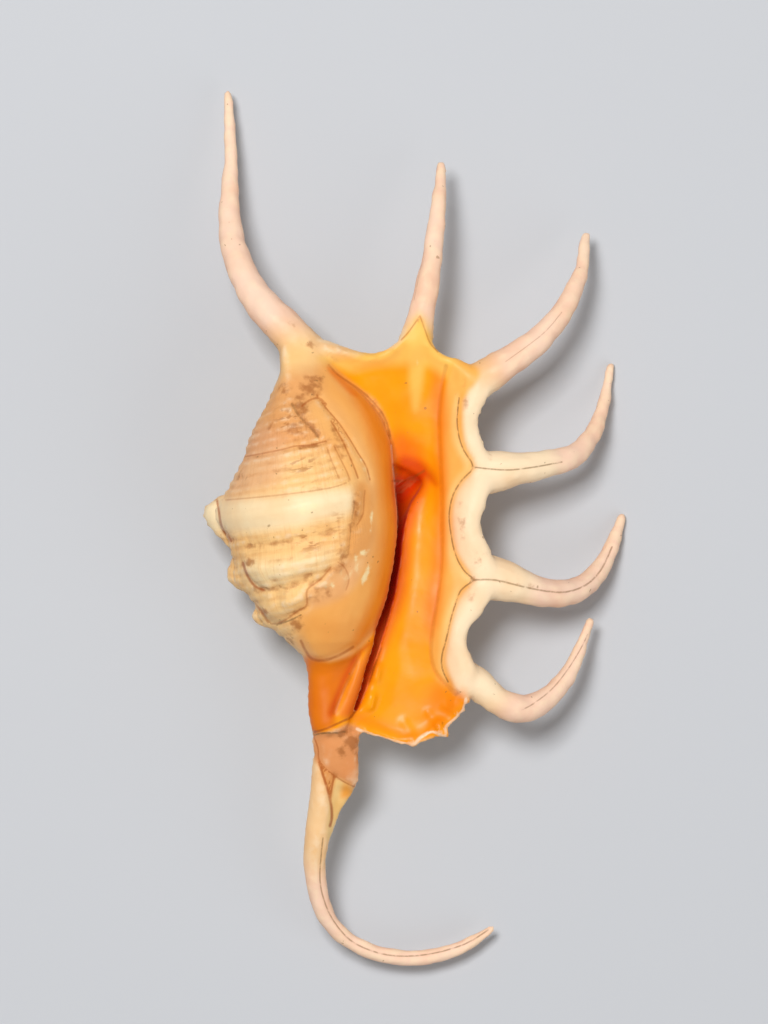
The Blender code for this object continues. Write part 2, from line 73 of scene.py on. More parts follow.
def linear(red: int, green: int, blue: int) -> Colour:
    """Turns a screen colour into the linear values that shaders take, by the screen standard's own curve.

    Args:
        red: Red from 0 to 255.
        green: Green from 0 to 255.
        blue: Blue from 0 to 255.

    Returns:
        The three linear values from 0 to 1.
    """
    shares = (value / 255 for value in (red, green, blue))
    return tuple(s / 12.92 if s <= 0.04045 else ((s + 0.055) / 1.055) ** 2.4 for s in shares)


def smooth_step(low: float, high: float, values: np.ndarray) -> np.ndarray:
    """Eases values from 0 at low to 1 at high.

    Args:
        low: Where the result leaves 0.
        high: Where the result reaches 1, which may be under low.
        values: The values to ease.

    Returns:
        One share for each value.
    """
    share = np.clip((values - low) / (high - low), 0.0, 1.0)
    return share * share * (3.0 - 2.0 * share)


def rounded(points: tuple[Place, ...], closed: bool = False, steps: int = 3) -> np.ndarray:
    """Draws a smooth curve through given points.

    Args:
        points: The points in order.
        closed: Whether the last point joins the first.
        steps: How many short lines stand between two points.

    Returns:
        The curve's points, one row each.
    """
    p = np.array(points, float)
    count = len(p) if closed else len(p) - 1
    found = []
    for i in range(count):
        if closed:
            a, b, c, d = (p[(i + k) % len(p)] for k in (-1, 0, 1, 2))
        else:
            a, b, c, d = (p[min(max(i + k, 0), len(p) - 1)] for k in (-1, 0, 1, 2))
        for j in range(steps):
            t = j / steps
            bend = (2 * a - 5 * b + 4 * c - d) * t**2 + (3 * b - a - 3 * c + d) * t**3
            found.append(b + 0.5 * ((c - a) * t + bend))
    found.append(p[0] if closed else p[-1])
    return np.array(found)


def way_to(curve: np.ndarray, places: np.ndarray, reach: float = 60.0) -> tuple[np.ndarray, np.ndarray]:
    """Finds the way from places to the nearest point of a curve.

    Args:
        curve: The curve's points, one row each.
        places: The places, one row each.
        reach: The largest distance of interest. Farther places get this distance.

    Returns:
        Distances, and the steps across and down that lead to the curve.
    """
    best = np.full(len(places), reach)
    ways = np.zeros((len(places), 2))
    near = np.all((places > curve.min(0) - reach) & (places < curve.max(0) + reach), axis=1)
    spots = places[near]
    found = best[near]
    found_ways = ways[near]
    for start, end in zip(curve[:-1], curve[1:]):
        run = end - start
        share = np.clip((spots - start) @ run / max(run @ run, 1e-9), 0.0, 1.0)
        steps = start + share[:, None] * run - spots
        length = np.hypot(*steps.T)
        closer = length < found
        found[closer] = length[closer]
        found_ways[closer] = steps[closer]
    best[near] = found
    ways[near] = found_ways
    return best, ways


def depth_inside(outline: np.ndarray, places: np.ndarray) -> np.ndarray:
    """Measures how deep places lie inside a closed outline, and less than 0 outside it.

    Args:
        outline: The closed curve's points, one row each.
        places: The places, one row each.

    Returns:
        One signed distance for each place.
    """
    inside = np.zeros(len(places), bool)
    x, y = places.T
    for (x0, y0), (x1, y1) in zip(outline[:-1], outline[1:]):
        if y0 != y1:
            inside ^= ((y0 > y) != (y1 > y)) & (x < (x1 - x0) * (y - y0) / (y1 - y0) + x0)
    distance = way_to(outline, places)[0]
    return np.where(inside, distance, -distance)


def link(name: str, data: bpy.types.ID) -> bpy.types.Object:
    """Makes an object and adds it to the scene.

    Args:
        name: The object's name.
        data: Its mesh, camera or light.

    Returns:
        The object.
    """
    made = bpy.data.objects.new(name, data)
    bpy.context.scene.collection.objects.link(made)
    return made


@dataclass(frozen=True)
class Waves:
    """Soft waves that look random and are the same each run: plain waves in several headings, added up."""

    length: float
    seed: int
    headings: int = 7
    spread: Place = (0.6, 1.6)
    evening: float = 4.0

    def at(self, places: np.ndarray) -> np.ndarray:
        """Gives the waves' height at places.

        Args:
            places: The places in millimetres, one row each.

        Returns:
            One value for each place, about -1 to 1.
        """
        draw = np.random.default_rng(self.seed)
        total = np.zeros(len(places))
        for _ in range(self.headings):
            heading = draw.normal(size=3)
            heading *= draw.uniform(*self.spread) * 2 * math.pi / (self.length * np.linalg.norm(heading))
            total += np.sin(places @ heading + draw.uniform(0, 2 * math.pi))
        return total / self.evening


@dataclass(frozen=True)
class PhotoView:
    """Where the photograph was taken from, and how its pixels lie on the shell.

    The camera looks straight down. A pixel is a fixed length on the plane at focus_height.
    """

    width_px: int = 768
    height_px: int = 1024
    pixel: float = 0.17
    frame_origin_px: Place = (416.0, 528.0)
    focus_height: float = 15.0
    camera_height: float = 1200.0
    sensor: float = 36.0
    clip_end_m: float = 10.0

    @property
    def centre(self) -> Place:
        """The place in the frame under the middle of the photograph.

        Returns:
            Its X and Y in millimetres.
        """
        x = (self.width_px / 2 - self.frame_origin_px[0]) * self.pixel
        y = (self.frame_origin_px[1] - self.height_px / 2) * self.pixel
        return x, y

    @property
    def lens(self) -> float:
        """The focal length that shows the photograph's whole height."""
        return self.sensor * (self.camera_height - self.focus_height) / (self.height_px * self.pixel)

    def pixels(self, places: np.ndarray) -> np.ndarray:
        """Finds the pixel under which each place of the shell is seen.

        Args:
            places: Places in millimetres, one row each.

        Returns:
            Pixel columns and rows, one pair for each place.
        """
        nearer = (self.camera_height - self.focus_height) / (self.camera_height - places[:, 2]) / self.pixel
        across = self.width_px / 2 + (places[:, 0] - self.centre[0]) * nearer
        down = self.height_px / 2 - (places[:, 1] - self.centre[1]) * nearer
        return np.column_stack((across, down))

    def add_camera(self) -> None:
        """Adds the camera and makes it the scene's."""
        data = bpy.data.cameras.new("photo_camera")
        data.sensor_fit = "VERTICAL"
        data.sensor_height = self.sensor
        data.lens = self.lens
        data.clip_end = self.clip_end_m
        camera = link("photo_camera", data)
        camera.location = (self.centre[0] * MM, self.centre[1] * MM, self.camera_height * MM)
        bpy.context.scene.camera = camera


@dataclass(frozen=True)
class Coil:
    """The shell's axis and the whorl's growth, which the spiral cords and growth lines follow.

    Angles go round the axis from the lip's side over the front, the left and the back.
    """

    axis_top: Place = (-22.2, 30.2)
    axis_foot: Place = (-14.4, -36.8)
    axis_height: float = 18.5
    # Where the last whorl's rows stand on Y at its left edge, and at the crease of the lip.
    left_y: tuple[float, ...] = (
        12.4, 11.6, 9.2, 5.8, 2.0, -3.4, -8.8, -12.3, -15.6, -18.4, -21.0, -23.4, -25.8, -28.4, -30.6,
    )
    lip_y: tuple[float, ...] = (
        30.2, 28.0, 31.6, 26.6, 23.8, 18.4, 9.0, 0.5, -7.6, -15.6, -21.6, -26.2, -30.2, -33.0, -34.5,
    )
    # How far each row has moved from its left place to its lip place, by angle.
    turn: tuple[Place, ...] = (
        (188, 0.0), (204, 0.03), (236, 0.13), (268, 0.27), (300, 0.46), (316, 0.58), (350, 0.9),
    )
    left_degrees: float = 188.0
    # How far a row rises over the front, times the square of its degrees from the left edge.
    front_rise: float = 0.00022
    least_row: float = 0.2
    cord_spacing: float = 1.5

    def axis_x(self, y: np.ndarray) -> np.ndarray:
        """Gives where the axis crosses planes of constant Y."""
        share = (self.axis_top[1] - y) / (self.axis_top[1] - self.axis_foot[1])
        return self.axis_top[0] + share * (self.axis_foot[0] - self.axis_top[0])

    def angle(self, places: np.ndarray) -> np.ndarray:
        """Gives each place's angle round the axis, from 0 to 360 degrees."""
        across = places[:, 0] - self.axis_x(places[:, 1])
        return np.degrees(np.arctan2(places[:, 2] - self.axis_height, across)) % 360

    def radius(self, places: np.ndarray) -> np.ndarray:
        """Gives each place's distance from the axis."""
        return np.hypot(places[:, 2] - self.axis_height, places[:, 0] - self.axis_x(places[:, 1]))

    def cords(self, places: np.ndarray) -> np.ndarray:
        """Numbers the spiral cords, so that one cord keeps one number all the way round.

        Args:
            places: Places in millimetres, one row each.

        Returns:
            Cord numbers with fractions.
        """
        angle = self.angle(places)
        front = np.clip(self.left_degrees - angle, 0.0, self.left_degrees)
        y = places[:, 1] - self.front_rise * front**2
        share = np.interp(angle, *zip(*self.turn))
        left = self.left_y
        rows = [a + (b - a) * share for a, b in zip(left, self.lip_y)]
        at_left = left[0] + np.maximum(y - rows[0], 0.0)
        for number, (upper, lower) in enumerate(zip(rows[:-1], rows[1:])):
            passed = np.clip((upper - y) / np.maximum(upper - lower, self.least_row), 0.0, 1.0)
            at_left -= passed * (left[number] - left[number + 1])
        at_left -= np.maximum(rows[-1] - y, 0.0)
        return -at_left / self.cord_spacing


class LineKind(Enum):
    """What a drawn line is: a dark seam, an orange-brown fold or a pale edge."""

    SEAM = "seam"
    FOLD = "fold"
    EDGE = "edge"


class StainKind(Enum):
    """What a stain is: brown soil, brown dashes worn along the cords, or pale chalky flakes and painted
    highlights.
    """

    SOIL = "soil"
    SCUFF = "scuff"
    FLAKE_AND_HIGHLIGHT = "flake_and_highlight"


@dataclass(frozen=True)
class Region:
    """One painted region: an outline in the photograph's pixels with a soft edge."""

    name: str
    outline_px: tuple[Place, ...]
    tint: Colour
    gloss: float
    soft_px: float = 4.0
    strength: float = 1.0

    def share(self, pixels: np.ndarray) -> np.ndarray:
        """Gives how much of the region's tint each place takes."""
        depth = depth_inside(rounded(self.outline_px, closed=True), pixels)
        return self.strength * smooth_step(-self.soft_px, self.soft_px, depth)


@dataclass(frozen=True)
class Line:
    """One drawn line: its route in pixels, its half width, its strength and its groove.

    A groove under 0 stands up from the skin.
    """

    name: str
    points_px: tuple[Place, ...]
    half_width_px: float
    ink: float
    groove: float
    groove_px: float = 3.5


def relief(name: str, points_px: tuple[Place, ...], height: float, width_px: float) -> Line:
    """Makes a ridge without ink, or a valley where its height is under 0.

    Args:
        name: The line's name.
        points_px: Its route in pixels.
        height: How far it stands up.
        width_px: Its half width in pixels.

    Returns:
        The line.
    """
    return Line(name, points_px, half_width_px=1.0, ink=0.0, groove=-height, groove_px=width_px)


@dataclass(frozen=True)
class Stain:
    """A soft-edged stain: its middle and half lengths in pixels, its turn in degrees and its strength."""

    centre_px: Place
    size_px: Place
    turn: float
    strength: float

    def share(self, pixels: np.ndarray) -> np.ndarray:
        """Gives how much of the stain each place takes.

        Args:
            pixels: The places' pixels, one row each.

        Returns:
            One share for each place.
        """
        turn = math.radians(self.turn)
        x, y = (pixels - np.array(self.centre_px)).T
        across = (x * math.cos(turn) + y * math.sin(turn)) / self.size_px[0]
        down = (-x * math.sin(turn) + y * math.cos(turn)) / self.size_px[1]
        return self.strength * np.exp(-(across**2 + down**2))


@dataclass(frozen=True)
class Pull:
    """A small tug on the skin: from a pixel, by a step in pixels, within a radius."""

    from_px: Place
    step_px: Place
    radius_px: float

    def moves(self, pixels: np.ndarray) -> np.ndarray:
        """Gives each place's move in pixels."""
        near = np.hypot(*(pixels - np.array(self.from_px)).T) / self.radius_px
        return np.clip(1.0 - near**2, 0.0, 1.0)[:, None] ** 2 * np.array(self.step_px)


# Screen colours of the shell's parts.
CREAM = linear(248, 202, 146)
PALE_CREAM = linear(255, 228, 190)
ROSE_CREAM = linear(253, 215, 189)
BACK_CREAM = linear(246, 216, 166)
TAN = linear(226, 154, 88)
CALLUS_TAN = linear(252, 178, 92)
CALLUS_ORANGE = linear(250, 148, 40)
GLAZE = linear(255, 162, 5)
# Pale glaze near the rim, also used for the painted highlight down the trough's ridge.
GLAZE_PALE_AND_HIGHLIGHT = linear(255, 206, 104)
# Deep orange of the throat, also used as the painted shadow in the callus's crevice.
GLAZE_DEEP_AND_SHADOW = linear(250, 120, 4)
# The throat's deep red, partly painted shade in the slit and other closed-in places.
THROAT_RED_AND_SHADE = linear(212, 46, 1)
# The digits' sides: rosier and darker, as painted shade.
DIGIT_SIDE_SHADE = linear(248, 204, 176)
BLOTCH_BROWN = linear(184, 116, 62)
SLIT_ORANGE = linear(255, 112, 6)
# Pale cream of chalky flakes and of painted highlights.
FLAKE_AND_HIGHLIGHT_CREAM = linear(255, 234, 178)
CLOUD = linear(236, 196, 146)
BAND = linear(252, 184, 88)
NECK_ORANGE = linear(226, 114, 12)
PLATE_ROSE = linear(234, 158, 98)
CHIP_ROSE = linear(240, 176, 116)
STAIN_BROWN = linear(170, 100, 46)
SEAM_BROWN = linear(136, 94, 48)
FOLD_BROWN = linear(176, 84, 18)
EDGE_CREAM = linear(255, 226, 194)


@dataclass(frozen=True)
class ShellPaint:
    """Every painted region, drawn line and stain on the shell's open side."""

    regions: tuple[Region, ...] = (
        Region("rough_body", (
            (290, 345), (330, 370), (352, 420), (366, 470), (366, 520), (345, 575), (308, 612), (300, 640),
            (250, 640), (190, 520), (230, 430),
        ), linear(255, 207, 138), 0.38, 10.0),
        Region("upper_whorls", (
            (262, 400), (290, 372), (330, 372), (350, 410), (350, 450), (300, 446), (250, 456), (236, 462),
            (240, 440),
        ), linear(238, 170, 104), 0.3, 12.0, 0.9),
        # A pale band on the shoulder: partly the shell's cream, partly painted light on the ridge top.
        Region("shoulder_band_and_light", (
            (205, 502), (260, 498), (300, 494), (330, 490), (352, 492), (352, 512), (320, 520), (290, 528),
            (240, 532), (205, 530),
        ), linear(255, 234, 192), 0.5, 8.0, 0.85),
        # The second ridge's pale band, partly painted light on its top.
        Region("second_band_and_light", (
            (245, 562), (290, 560), (330, 548), (330, 562), (300, 574), (262, 588), (248, 582),
        ), linear(255, 232, 182), 0.45, 8.0, 0.7),
        Region("growth_lines_field", (
            (318, 392), (334, 410), (350, 430), (362, 456), (368, 478), (346, 478), (332, 450), (318, 430),
            (308, 410),
        ), linear(250, 184, 104), 0.45, 9.0, 0.7),
        Region("foot_of_body", (
            (292, 618), (306, 600), (330, 588), (352, 586), (360, 600), (345, 622), (320, 640), (300, 640),
        ), linear(250, 186, 110), 0.4, 14.0, 0.9),
        Region("callus", (
            (322, 362), (350, 372), (372, 400), (390, 432), (393, 470), (397, 520), (397, 550), (392, 585),
            (384, 610), (372, 630), (355, 652), (325, 662), (308, 656), (300, 636), (308, 612), (338, 596),
            (358, 575), (370, 545), (370, 515), (370, 480), (356, 440), (340, 412), (324, 392),
        ), CALLUS_TAN, 0.55, 11.0),
        # Darker tan on the body's flank by the callus, partly painted shade.
        Region("shaded_callus_side", (
            (356, 484), (368, 484), (374, 510), (373, 540), (364, 556), (350, 560), (346, 540), (352, 512),
        ), linear(240, 168, 90), 0.45, 5.0, 0.8),
        # A rosy tint in the body's hollow, darker there as painted shade.
        Region("rosy_shaded_hollow", (
            (236, 440), (262, 425), (285, 440), (280, 480), (250, 494), (222, 494), (228, 465),
        ), linear(240, 184, 142), 0.35, 12.0, 0.6),
        Region("callus_front", (
            (352, 388), (376, 410), (391, 440), (394, 480), (398, 530), (394, 575), (382, 612), (368, 634),
            (352, 650), (370, 600), (380, 560), (382, 520), (378, 470), (366, 425),
        ), CALLUS_ORANGE, 0.6, 8.0),
        # Painted shadow: a darker orange streak in the crevice where the callus overhangs the trough floor.
        Region("callus_crevice_shadow", (
            (328, 366), (338, 374), (350, 386), (358, 396), (350, 394), (340, 384), (330, 373),
        ), GLAZE_DEEP_AND_SHADOW, 0.5, 2.5, 0.6),
        Region("chipped_patch", (
            (307, 592), (325, 577), (333, 566), (350, 558), (358, 572), (351, 590), (332, 602), (310, 607),
        ), CHIP_ROSE, 0.3, 5.0, 0.7),
        Region("rim_cream", (
            (462, 396), (484, 380), (520, 400), (560, 470), (540, 560), (520, 640), (500, 700), (456, 692),
            (446, 660), (454, 620), (470, 584), (456, 550), (454, 510), (474, 468), (464, 440),
        ), PALE_CREAM, 0.45, 12.0),
        Region("band", (
            (446, 360), (470, 362), (480, 376), (464, 400), (464, 440), (474, 467), (458, 488), (452, 515),
            (456, 550), (472, 580), (458, 600), (448, 640), (446, 665), (456, 692), (440, 684), (428, 650),
            (436, 600), (438, 540), (438, 460),
        ), BAND, 0.5, 3.5),
        Region("band_pale", (
            (456, 396), (459, 398), (457, 420), (459, 437), (472, 466), (462, 480), (453, 495), (450, 515),
            (453, 550), (459, 563), (472, 580), (461, 590), (455, 605), (450, 622), (444, 655), (446, 682),
            (440, 668), (441, 640), (446, 610), (454, 582), (448, 560), (445, 535), (446, 500), (456, 478),
            (464, 467), (454, 445), (451, 420),
        ), linear(255, 214, 144), 0.45, 4.0, 0.45),
        Region("trough", (
            (330, 362), (352, 360), (372, 352), (392, 348), (404, 338), (413, 326), (420, 316), (426, 328),
            (434, 346), (446, 356), (452, 364), (446, 385), (442, 410), (442, 440), (443, 470), (444, 500),
            (443, 530), (442, 560), (439, 590), (434, 620), (431, 645), (434, 666), (444, 683), (459, 697),
            (470, 700), (466, 716), (456, 728), (450, 742), (436, 738), (420, 742), (412, 750), (395, 748),
            (380, 744), (365, 738), (352, 728), (330, 732), (312, 734), (304, 700), (304, 664), (330, 662),
            (352, 655), (372, 634), (386, 605), (396, 560), (399, 530), (395, 480), (392, 440), (379, 406),
            (364, 392), (346, 378),
        ), GLAZE, 0.66, 3.0),
        Region("trough_side", (
            (432, 370), (444, 368), (446, 440), (447, 540), (440, 610), (430, 640), (424, 610), (434, 540),
            (434, 440),
        ), linear(246, 132, 12), 0.55, 7.0, 0.8),
        Region("trough_top", (
            (320, 358), (352, 354), (372, 348), (400, 340), (419, 314), (434, 340), (456, 356), (447, 376),
            (430, 366), (400, 364), (375, 366), (350, 370),
        ), GLAZE_PALE_AND_HIGHLIGHT, 0.5, 8.0, 0.9),
        Region("top_rim", (
            (318, 340), (350, 346), (372, 350), (395, 346), (405, 330), (400, 330), (380, 345), (350, 338),
        ), PALE_CREAM, 0.4, 3.5, 0.8),
        Region("neck", (
            (300, 660), (330, 662), (352, 655), (358, 660), (346, 684), (336, 712), (334, 726), (314, 734),
            (300, 736),
        ), NECK_ORANGE, 0.5, 5.0, 0.9),
        Region("column_groove", (
            (372, 642), (358, 658), (347, 680), (339, 700), (333, 716), (328, 712), (338, 688), (350, 662),
            (362, 648),
        ), linear(214, 80, 4), 0.3, 4.0, 0.85),
        Region("column_ridge", (
            (374, 645), (360, 662), (350, 682), (343, 700), (339, 716), (350, 715), (359, 700), (368, 680),
            (378, 652),
        ), linear(250, 146, 44), 0.6, 3.0, 0.8),
        Region("lip_hem", (
            (350, 720), (384, 731), (404, 738), (414, 741), (440, 728), (456, 712), (466, 700), (462, 690),
            (448, 704), (432, 722), (412, 731), (386, 723), (360, 712),
        ), linear(250, 138, 12), 0.55, 7.0, 0.7),
        Region("lip_shade", (
            (436, 682), (446, 688), (458, 698), (462, 704), (452, 716), (440, 724), (428, 728), (420, 718),
            (426, 700),
        ), linear(246, 130, 8), 0.5, 12.0, 0.6),
        Region("throat_glow", (
            (392, 440), (402, 432), (420, 446), (428, 476), (420, 510), (408, 530), (398, 520), (393, 480),
        ), GLAZE_DEEP_AND_SHADOW, 0.55, 11.0, 0.9),
        # The slit's deep red, partly painted shade in its depth.
        Region("slit_red_and_shade", (
            (394, 480), (410, 478), (424, 471), (423, 482), (411, 500), (404, 520), (400, 560), (393, 595),
            (383, 626), (378, 636), (376, 624), (390, 580), (397, 530),
        ), THROAT_RED_AND_SHADE, 0.6, 4.0, 0.95),
        # A pale streak down the trough's middle ridge, partly a painted highlight.
        Region("trough_streak_and_highlight", (
            (411, 330), (425, 330), (424, 370), (420, 402), (415, 412), (411, 398), (409, 370),
        ), GLAZE_PALE_AND_HIGHLIGHT, 0.66, 5.0, 0.7),
        Region("glow_low", (
            (400, 458), (414, 458), (426, 466), (436, 484), (426, 478), (412, 482), (396, 482),
        ), linear(214, 66, 2), 0.4, 6.0, 0.85),
        Region("slit_shade", (
            (430, 476), (418, 504), (411, 530), (410, 560), (404, 595), (395, 622), (382, 656), (364, 694),
            (352, 714), (344, 712), (358, 680), (372, 645), (388, 600), (397, 560), (400, 530), (406, 505),
        ), linear(222, 92, 2), 0.0, 8.0, 0.9),
        Region("canal_plate", (
            (308, 736), (330, 733), (348, 724), (362, 732), (360, 754), (361, 774), (357, 790), (334, 777),
            (316, 762),
        ), PLATE_ROSE, 0.3, 3.0),
        Region("flange", (
            (333, 778), (354, 788), (352, 800), (336, 822), (332, 838), (327, 836), (330, 800),
        ), linear(253, 212, 140), 0.5, 3.0),
        Region("flange_wedge", (
            (319, 764), (327, 771), (335, 777), (333, 790), (331, 800), (326, 787),
        ), linear(230, 152, 74), 0.4, 2.5, 0.85),
        Region("flange_orange", (
            (344, 784), (353, 789), (350, 797), (341, 797),
        ), linear(248, 162, 50), 0.5, 4.0, 0.85),
        Region("flange_foot", (
            (333, 800), (341, 804), (336, 818), (331, 816),
        ), linear(252, 198, 112), 0.5, 5.0, 0.5),
    )

    seams: tuple[Line, ...] = (
        Line("growth_seam", (
            (459, 398), (457, 420), (459, 437), (464, 451), (473, 467), (462, 480), (453, 495), (449, 515),
            (451, 535), (454, 550), (459, 563), (466, 573), (473, 580), (461, 590), (455, 605), (450, 622),
            (446, 640), (442, 655), (442, 668), (448, 682),
        ), 0.75, 0.7, 0.2),
        Line("fourth_digit_seam", (
            (473, 467), (490, 469), (510, 470), (535, 467), (562, 462),
        ), 0.7, 0.65, 0.16),
        Line("fifth_digit_seam", (
            (472, 580), (495, 580), (520, 586), (545, 591), (566, 592), (586, 585), (601, 570), (612, 547),
        ), 0.8, 0.6, 0.18),
        Line("sixth_digit_seam", (
            (522, 710), (533, 704), (551, 690), (566, 672), (580, 650), (588, 634),
        ), 0.6, 0.5, 0.14),
        Line("third_digit_seam", ((505, 362), (530, 344), (547, 330), (562, 312)), 0.5, 0.35, 0.1),
        Line("second_digit_seam", ((414, 300), (419, 275), (424, 250)), 0.45, 0.25, 0.1),
        Line("canal_seam", (
            (323, 838), (321, 858), (320, 880), (324, 900), (333, 920), (350, 940), (372, 951), (397, 956),
            (430, 954), (465, 944), (488, 930),
        ), 0.7, 0.6, 0.16),
        Line("dark_cleft", (
            (292, 404), (298, 414), (305, 422), (310, 427), (315, 432), (318, 437),
        ), 1.2, 0.4, 0.22),
        Line("layer_edge_1", ((354, 500), (354, 508), (352, 520), (350, 537), (349, 551)), 0.6, 0.3, 0.14),
        Line("corner_crack", ((277, 625), (291, 620), (301, 615)), 0.8, 0.6, 0.14),
        Line("plate_top", ((315, 735), (325, 733), (336, 733), (345, 732)), 0.8, 0.7, 0.12),
    )
    folds: tuple[Line, ...] = (
        Line("crease", (
            (446, 366), (442, 386), (439, 416), (440, 449), (442, 499), (442, 525), (441, 572), (434, 620),
            (431, 648), (434, 668), (444, 682), (456, 694),
        ), 1.8, 0.28, 0.16),
        Line("bulge_foot", (
            (301, 641), (308, 655), (315, 660), (326, 660), (340, 655), (353, 647),
        ), 1.1, 0.65, 0.24, 4.5),
        Line("callus_edge", (
            (329, 365), (337, 374), (350, 383), (364, 393), (377, 406), (386, 420), (390, 436),
        ), 0.8, 0.5, 0.14),
        Line("shelf", ((393, 481), (402, 481), (412, 478), (424, 471)), 1.0, 0.7, 0.05),
        Line("front_suture", (
            (243, 457), (254, 455), (270, 452), (284, 449), (296, 446), (310, 445), (326, 441),
        ), 0.6, 0.5, 0.2, 4.0),
        Line("bump_edge", ((302, 406), (310, 400), (319, 398), (326, 404)), 0.8, 0.6, 0.14),
        Line("growth_line_1", (
            (317, 395), (326, 408), (338, 422), (349, 438), (358, 453), (366, 466), (370, 480),
        ), 0.6, 0.6, 0.2, 2.6),
        Line("growth_line_2", (
            (331, 421), (341, 438), (348, 453), (354, 467), (358, 478),
        ), 0.7, 0.6, 0.12, 2.4),
        Line("growth_line_3", ((334, 446), (341, 460), (347, 472), (350, 480)), 0.6, 0.42, 0.12, 2.4),
        Line("growth_line_4", ((327, 448), (333, 464), (339, 478)), 0.6, 0.32, 0.12, 2.4),
        Line("chip_edge_1", ((338, 562), (345, 568), (349, 579), (346, 590)), 0.6, 0.35, 0.12, 2.6),
        Line("column_crease", (
            (360, 653), (355, 665), (350, 677), (345, 687), (341, 696), (337, 705), (334, 713),
        ), 1.4, 0.4, 0.4, 3.2),
        Line("layer_edge_2", ((365, 490), (364, 500), (363, 514), (357, 525)), 0.6, 0.4, 0.14),
        Line("layer_edge_3", (
            (331, 567), (320, 580), (307, 590), (307, 605), (298, 611), (282, 622), (272, 624),
        ), 0.7, 0.45, 0.3, 3.0),
        Line("band_edge", ((226, 500), (260, 497), (296, 493), (330, 488), (346, 483)), 0.6, 0.35, 0.1),
        Line("left_knob_line", ((217, 500), (219, 512), (222, 528), (231, 541)), 0.9, 0.75, 0.4),
        Line("second_knob_line", (
            (243, 563), (246, 572), (250, 580), (256, 587), (264, 590),
        ), 1.0, 0.75, 0.45),
        Line("third_knob_line", ((255, 604), (261, 611), (268, 622)), 0.9, 0.7, 0.35),
        Line("neck_foot", (
            (314, 732), (322, 730), (330, 727), (343, 721), (352, 716), (361, 700), (370, 679), (381, 648),
        ), 0.9, 0.75, 0.16),
        Line("plate_edge", (
            (313, 735), (318, 748), (319, 760), (326, 769), (335, 776), (346, 783), (355, 787),
        ), 0.6, 0.6, 0.12),
        Line("left_fold", ((319, 761), (323, 775), (329, 794), (332, 814), (330, 826)), 1.1, 0.8, 0.14),
        Line("right_fold", ((334, 776), (332, 787), (330, 800)), 0.8, 0.7, 0.12),
        Line("second_digit_left_edge", ((401, 340), (407, 334), (413, 326), (420, 316)), 0.6, 0.5, -0.14),
        Line("second_digit_right_edge", ((420, 316), (425, 330), (430, 343), (438, 352)), 0.6, 0.5, -0.14),
    )
    # Ridges and valleys without ink stand among the edges.
    edges: tuple[Line, ...] = (
        relief("shoulder_ridge", (
            (228, 518), (246, 516), (270, 513), (300, 508), (326, 502), (345, 497),
        ), 0.75, 13.0),
        relief("shoulder_valley", ((250, 546), (275, 545), (300, 541), (330, 532)), -0.5, 7.0),
        relief("second_ridge", ((250, 568), (270, 570), (296, 567), (318, 560)), 0.75, 9.0),
        relief("second_valley", ((262, 592), (280, 589), (298, 584), (310, 578)), -0.5, 6.0),
        relief("third_ridge", ((268, 610), (280, 607), (294, 600), (304, 594)), 0.65, 7.0),
        relief("upper_valley", ((238, 480), (262, 474), (290, 468), (325, 462)), -0.35, 11.0),
        relief("cross_fold_1", ((262, 566), (264, 580), (270, 598)), 0.3, 6.0),
        relief("cross_fold_2", ((284, 566), (286, 584), (288, 600)), 0.2, 6.0),
        relief("cross_valley_1", ((274, 582), (277, 594), (280, 606)), -0.2, 5.0),
        Line("lip_edge", (
            (357, 729), (370, 734), (386, 739), (402, 743), (413, 745), (418, 740), (424, 735), (432, 732),
            (439, 734), (445, 737), (446, 727), (454, 720), (461, 713), (465, 706), (466, 699),
        ), 1.5, 0.7, 0.0),
        relief("trough_bump_1", ((378, 668), (376, 678)), 0.65, 4.5),
        relief("trough_bump_2", ((372, 697), (370, 706)), 0.65, 4.5),
        relief("rib_1", ((428, 712), (436, 722), (445, 734)), 0.25, 3.5),
        relief("rib_2", ((444, 706), (454, 712), (461, 716)), 0.2, 3.5),
        relief("rib_3", ((404, 722), (410, 732), (413, 744)), 0.2, 4.5),
        Line("callus_lip", (
            (391, 445), (393, 470), (396, 500), (398, 530), (396, 555), (391, 585), (384, 610),
        ), 0.8, 0.55, 0.0),
    )

